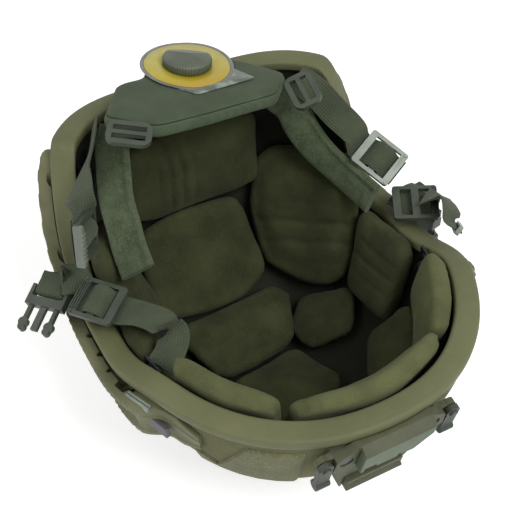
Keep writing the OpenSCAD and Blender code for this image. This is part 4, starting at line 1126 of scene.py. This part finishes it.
def make_card():
    """The yellow card with its grey rim, over a foil tag."""
    face = card_ring(6.4, CARD_R - CARD_RIM_W, 0.5, 1.0)
    piece("card_face", face, "card", nodes=("dial_label",))
    rim = card_ring(CARD_R - CARD_RIM_W - 0.3, CARD_R, 0.3, 0.85)
    piece("card_rim", rim, "card", EXTRA["card_rim"])
    outline = rounded_profile(TAG_CORNERS, 3, 5)
    count = len(outline)
    rings = [(0, 0.45), (0.5, 0.45), (0.99, 0.45), (1, 0.3), (0.99, 0.15), (0.5, 0.15), (0, 0.15)]

    def place(u, v):
        share, z = rings[round(v * (len(rings) - 1))]
        p = TAG_MIDDLE + (outline[round(u * count) % count] - TAG_MIDDLE) * share
        wave = 0.9 * ease((-p.y - 20) / 14) * (1 + math.sin(p.x / 5))
        return DIAL @ Vector((p.x, p.y, z + wave))

    tag = capped(laid(count, len(rings) - 1, place))
    piece("card_tag", tag, "card", EXTRA["tag"])


def make_dial():
    """The fit dial: the knob over its card, and the works under it as their solids are."""
    for node in ("dial_housing", "dial_pinion", "rack_left", "rack_right"):
        dress(node, "dial_black")
    make_knob()
    make_card()


# Straps


def placed(stops):
    """Places of a strap over the crown panel, each with the direction of its width."""
    return [(Vector(p) + Vector((0, 0, CROWN_Z)), unit(w)) for p, w in stops]


def over(hardware, stops):
    """Stops along a lock or a buckle's bar and above it, for a strap that lies across it."""
    o, x, z = hardware
    place = pose(o, x, z)
    side = Vector(z).cross(unit(x)).normalized()
    return [(place @ Vector((a, 0, b)), side) for a, b in stops]


def woven(lock):
    """The stretch of a strap that runs through a ladder lock: under its ends and over its bar."""
    rise = LOCK_T / 2 + STRAP_T / 2 + 0.3
    lift = [(-16, -rise), (-9.3, -rise), (-3.2, rise), (3.2, rise), (9.3, -rise), (16, -rise)]
    return over(lock, lift)


def tail_under(lock):
    """The free end of a strap, which runs back under its lock."""
    low = -(LOCK_T / 2 + 1.5 * STRAP_T + 0.7)
    return over(lock, [(a, low + 0.4 * ease((abs(a) - 9) / 5)) for a in (-14, -7, 0, 7, 14)])


def buckle_loop(buckle):
    """The sewn end of a strap, laid round a buckle's bar."""
    bar_r = 1.7
    r = bar_r + 0.35 + STRAP_T / 2
    turn = [(-13, r), (-7, r), (0, r), (0.87 * r, 0.5 * r), (0.87 * r, -0.5 * r), (0, -r), (-6, -r)]
    return over(buckle, turn)


def smooth_route(stops):
    """A curve through a strap's stops: its points with the directions of its width, and its lengths."""
    places, sides = [s[0] for s in stops], [s[1] for s in stops]
    made = []
    for i in range(len(stops) - 1):
        p0, p1 = places[max(0, i - 1)], places[i]
        p2, p3 = places[i + 1], places[min(len(stops) - 1, i + 2)]
        gap = (p2 - p1).length
        m1 = (p2 - p0) * gap / max((p2 - p0).length, gap) if i else p2 - p1
        m2 = (p3 - p1) * gap / max((p3 - p1).length, gap) if i < len(stops) - 2 else p2 - p1
        count = max(2, round(gap / ROUTE_STEP))
        for k in range(count + (i == len(stops) - 2)):
            t = k / count
            p = ((2 * t ** 3 - 3 * t ** 2 + 1) * p1 + (t ** 3 - 2 * t ** 2 + t) * m1
                 + (3 * t ** 2 - 2 * t ** 3) * p2 + (t ** 3 - t ** 2) * m2)
            made.append((p, sides[i].lerp(sides[i + 1], t).normalized()))
    lengths = [0.0]
    for a, b in zip(made, made[1:]):
        lengths.append(lengths[-1] + (b[0] - a[0]).length)
    return made, lengths


def strap(name, stops, width, section, slot, nodes=()):
    """A flat strap along a route. section(v, s, total) is a point across it, s along it."""
    route, lengths = smooth_route(stops)
    rows = 40
    last = len(route) - 1
    frames = []
    for i, (p, w) in enumerate(route):
        along = unit(route[min(i + 1, last)][0] - route[max(i - 1, 0)][0])
        face = along.cross(w).normalized()
        frames.append((p, face.cross(along), face))
    bm = bmesh.new()
    bmesh.ops.create_grid(bm, x_segments=last, y_segments=rows, size=0.5)
    layer = bm.loops.layers.uv.new("strip")
    for f in bm.faces:
        for corner in f.loops:
            u, v = corner.vert.co.x + 0.5, corner.vert.co.y + 0.5
            x, _ = section(v, 0, 1)
            corner[layer].uv = (x * width / 2 * MM, lengths[round(u * last)] * MM)
    for v in bm.verts:
        i = round((v.co.x + 0.5) * last)
        p, side, face = frames[i]
        x, y = section(v.co.y + 0.5, lengths[i], lengths[-1])
        v.co = p + side * x * width / 2 + face * y
    bmesh.ops.remove_doubles(bm, verts=bm.verts, dist=0.003)
    return piece(name, capped(bm), slot, nodes=nodes, sharp=75)


def webbing_section(v, s, total):
    """Flat webbing with rounded edges, the same all along."""
    t = 2 * math.pi * v
    c, n = math.cos(t), math.sin(t)
    x = math.copysign(abs(c) ** 0.3, c)
    return x, STRAP_T / 2 * math.copysign(abs(n) ** 0.6, n)


def fleece_section(v, s, total):
    """A padded strap with a piped edge on one side and a hem at its lower end."""
    t = 2 * math.pi * v
    c, n = math.cos(t), math.sin(t)
    x = math.copysign(abs(c) ** 0.55, c)
    y = NECK_T / 2 * math.copysign(abs(n) ** 0.8, n)
    if n > 0:
        y -= 1.1 * bump(x, 0.56, 0.1)
        y += 0.5 * bump(x, 0.76, 0.16)
        y -= 1.0 * bump(s, total - 9, 1.6)
    y += 0.3 * rough((s, x * 9, n), 6, 7.0)
    return x, y


LEFT_REAR_LOCK = ((-101, 45, 158 + CROWN_Z), (-0.1, -0.18, -1), (0.75, -0.65, 0.1))
LEFT_FRONT_LOCK = ((-106, 23.5, 123 + CROWN_Z), (-0.6, 0.75, -0.05), (-0.12, -0.2, 1))
RIGHT_REAR_LOCK = ((104, 39, 143 + CROWN_Z), (0.45, -0.75, -0.38), (-0.2, -0.5, 0.85))
RIGHT_FRONT_LOCK = ((114, 7, 124 + CROWN_Z), (0.85, -0.45, 0.05), (-0.1, -0.15, 1))
MALE = ((-126.5, 54, 111 + CROWN_Z), (-0.68, -0.62, -0.28), (-0.3, -0.1, 0.95))
FEMALE = ((135, 22, 101 + CROWN_Z), (0.05, 0.05, -1), (1, 0.2, 0.1))

ROUTES = {
    "web_left_rear": placed([
        ((-69.5, 102, 190), (0.1, -0.4, 0.9)), ((-78, 88, 184), (0.2, -0.3, 0.9)),
        ((-90, 72, 181), (0.4, -0.3, 0.8)), ((-97, 58, 179), (0.6, -0.6, 0.5)),
    ]) + woven(LEFT_REAR_LOCK),
    "web_left_chin": placed([
        ((-113, 40, 118.6), (-0.78, -0.6, -0.1)), ((-111, 47, 119), (-0.85, -0.5, -0.05)),
        ((-111, 53, 119), (-0.74, -0.65, 0)), ((-114.5, 57.5, 117.8), (-0.25, -0.95, 0.05)),
        ((-119, 58.8, 116), (0.33, -0.93, 0.1)),
    ]) + buckle_loop(MALE),
    "web_left_front": placed([
        ((-90, -34.5, 115), (0.7, -0.7, 0.1)), ((-83, -31, 120.5), (0.7, -0.7, 0.2)),
        ((-77, -23, 125), (0.8, -0.6, 0.1)), ((-80, -12, 127), (-0.9, -0.45, 0)),
        ((-87, 0, 125), (-0.85, -0.5, 0)),
    ]) + woven(LEFT_FRONT_LOCK),
    "web_right_rear": placed([
        ((68, 92, 186), (0.3, 0.5, 0.8)), ((79, 84, 176), (0.4, 0.4, 0.8)),
        ((87, 71, 165), (0.6, 0.3, 0.7)), ((95, 56, 155), (0.8, 0.4, 0.4)),
    ]) + woven(RIGHT_REAR_LOCK),
    "web_right_loop": placed([
        ((119, 5, 129), (0.95, 0.2, 0.12)), ((122.5, -1, 131.5), (0.85, 0.2, -0.3)),
        ((126.5, -8, 134.4), (0.7, 0.15, -0.7)), ((125, -17, 132), (0.79, -0.03, -0.61)),
        ((122.5, -20.5, 128), (0.75, 0.1, -0.63)), ((123.5, -24, 125.5), (0.66, 0.3, -0.66)),
        ((126, -28, 123), (0.6, 0.42, -0.66)),
    ]),
    "web_right_chin": placed([
        ((104, 12, 118.5), (-0.3, 0.95, 0)), ((117, 17, 121), (-0.3, 0.95, 0)),
        ((128, 20, 119), (-0.25, 0.95, 0)), ((133, 21.5, 114), (-0.2, 0.95, 0.1)),
    ]) + buckle_loop(FEMALE),
}
NECKS = {
    "neck_pad_left": placed([
        ((-59.5, 90.5, 189), (0.75, -0.5, 0.4)), ((-63, 92, 180), (0.75, -0.5, 0.4)),
        ((-67, 84, 165), (0.8, -0.45, 0.3)), ((-71, 73, 152), (0.85, -0.4, 0.3)),
        ((-73, 59, 142), (0.85, -0.4, 0.3)), ((-75, 45, 133), (0.85, -0.4, 0.35)),
        ((-76, 31, 127), (0.85, -0.4, 0.4)),
    ]),
    "neck_pad_right": placed([
        ((55.5, 94, 175), (0.8, 0, 0.5)), ((63, 88, 166), (0.6, 0.1, 0.8)),
        ((67, 84, 154), (0.5, 0.1, 0.9)), ((73, 74, 141), (0.45, 0.05, 0.95)),
        ((80, 59, 132), (0.35, 0, 0.95)), ((86, 41, 127), (0.3, 0, 0.95)),
        ((89, 22, 126), (0.35, 0, 0.95)),
    ]),
}


def make_straps():
    """The webbing, its free ends under the locks, and the fleece neck pads."""
    for node, stops in ROUTES.items():
        strap(node + "_weave", stops, STRAP_W, webbing_section, "webbing", (node,))
    for name, lock in (("left_rear", LEFT_REAR_LOCK), ("left_front", LEFT_FRONT_LOCK),
                       ("right_rear", RIGHT_REAR_LOCK), ("right_front", RIGHT_FRONT_LOCK)):
        strap("web_tail_" + name, tail_under(lock), STRAP_W, webbing_section, "webbing")
    for node, stops in NECKS.items():
        made = strap(node + "_fleece", stops, NECK_W, fleece_section, "neck_fleece", (node,))


def make_clips():
    """Loops, ladder locks, keeper and buckle halves, with their edges rounded."""
    for node in ("nape_loop_left", "nape_loop_right"):
        rounded(node, "clip_plastic", 0.9)
    for node in ("ladder_left_rear", "ladder_left_front", "ladder_right_front",
                 "buckle_male", "buckle_female"):
        rounded(node, "clip_plastic", 0.5)
    for node in ("ladder_right_rear", "keeper_right"):
        rounded(node, "pale_clip_plastic", 0.5)


def make_grips():
    """A toothed grip beside the left rear lock, and ribs on the ends of three locks."""
    teeth, ribs = 7, 3
    grip_y = -12.2
    bm = bmesh.new()
    place = pose(*LEFT_REAR_LOCK)
    block(bm, (0, grip_y, 1.2), (29, 4.4, 6.4), 1.3, place)
    for k in range(teeth):
        block(bm, (-9 + 3 * k, grip_y, 4.5), (1.3, 4.0, 1.2), 0.4, place)
    bmesh.ops.recalc_face_normals(bm, faces=bm.faces)
    piece("lock_grip_left_rear", bm, "clip_plastic", EXTRA["grip"], sharp=35)
    bm = bmesh.new()
    for lock in (LEFT_REAR_LOCK, LEFT_FRONT_LOCK, RIGHT_FRONT_LOCK):
        place = pose(*lock)
        for k in range(ribs):
            block(bm, (11.4 + 1.5 * k, 0, LOCK_T / 2 + 0.5), (0.8, STRAP_W, 1.1), 0.3, place)
    bmesh.ops.recalc_face_normals(bm, faces=bm.faces)
    piece("lock_ribs", bm, "clip_plastic", sharp=35)


# Light, floor and backdrop


def make_stage():
    """The floor, and a backdrop that is white where it is seen and softer as light."""
    bm = bmesh.new()
    bmesh.ops.create_grid(bm, x_segments=1, y_segments=1, size=3000)
    bmesh.ops.scale(bm, vec=(MM,) * 3, verts=bm.verts)
    mesh = bpy.data.meshes.new("floor")
    bm.to_mesh(mesh)
    bm.free()
    mesh.materials.append(pale_floor())
    floor = bpy.data.objects.new("floor", mesh)
    scene.collection.objects.link(floor)

    world = bpy.data.worlds.new("studio")
    scene.world = world
    world.use_nodes = True
    tree = world.node_tree
    tree.nodes.clear()
    plain = add(tree, "Background", {"Color": linear("#f4f5f2"), "Strength": 0.56})
    white = add(tree, "Background", {"Color": linear("#ffffff"), "Strength": 1.0})
    shares = {0: seen_directly(tree), 1: plain.outputs[0], 2: white.outputs[0]}
    both = add(tree, "MixShader", shares)
    add(tree, "OutputWorld", {"Surface": both.outputs[0]})


def lamp(name, at, aim, size, power):
    """A round soft box, in metres and watts."""
    data = bpy.data.lights.new(name, "AREA")
    data.shape = "DISK"
    data.size = size
    data.energy = power
    made = bpy.data.objects.new(name, data)
    scene.collection.objects.link(made)
    turn = (Vector(aim) - Vector(at)).to_track_quat("-Z", "Y").to_matrix().to_4x4()
    made.matrix_world = Matrix.Translation(at) @ turn


def make_lights():
    """A large soft box behind the camera to its right, and a weak one from the left."""
    lamp("key", (0.35, -1.1, 1.6), (0, 0, 0.12), 0.9, 26)
    lamp("fill", (-1.3, 0.4, 1.1), (0, 0, 0.12), 0.9, 7)


make_camera()
make_shell()
make_trim()
make_panels()
make_rails()
make_hardware()
make_band()
make_shroud()
make_pads()
make_nape_pad()
make_dial()
make_straps()
make_clips()
make_grips()
make_stage()
make_lights()
scene.view_settings.view_transform = "Standard"
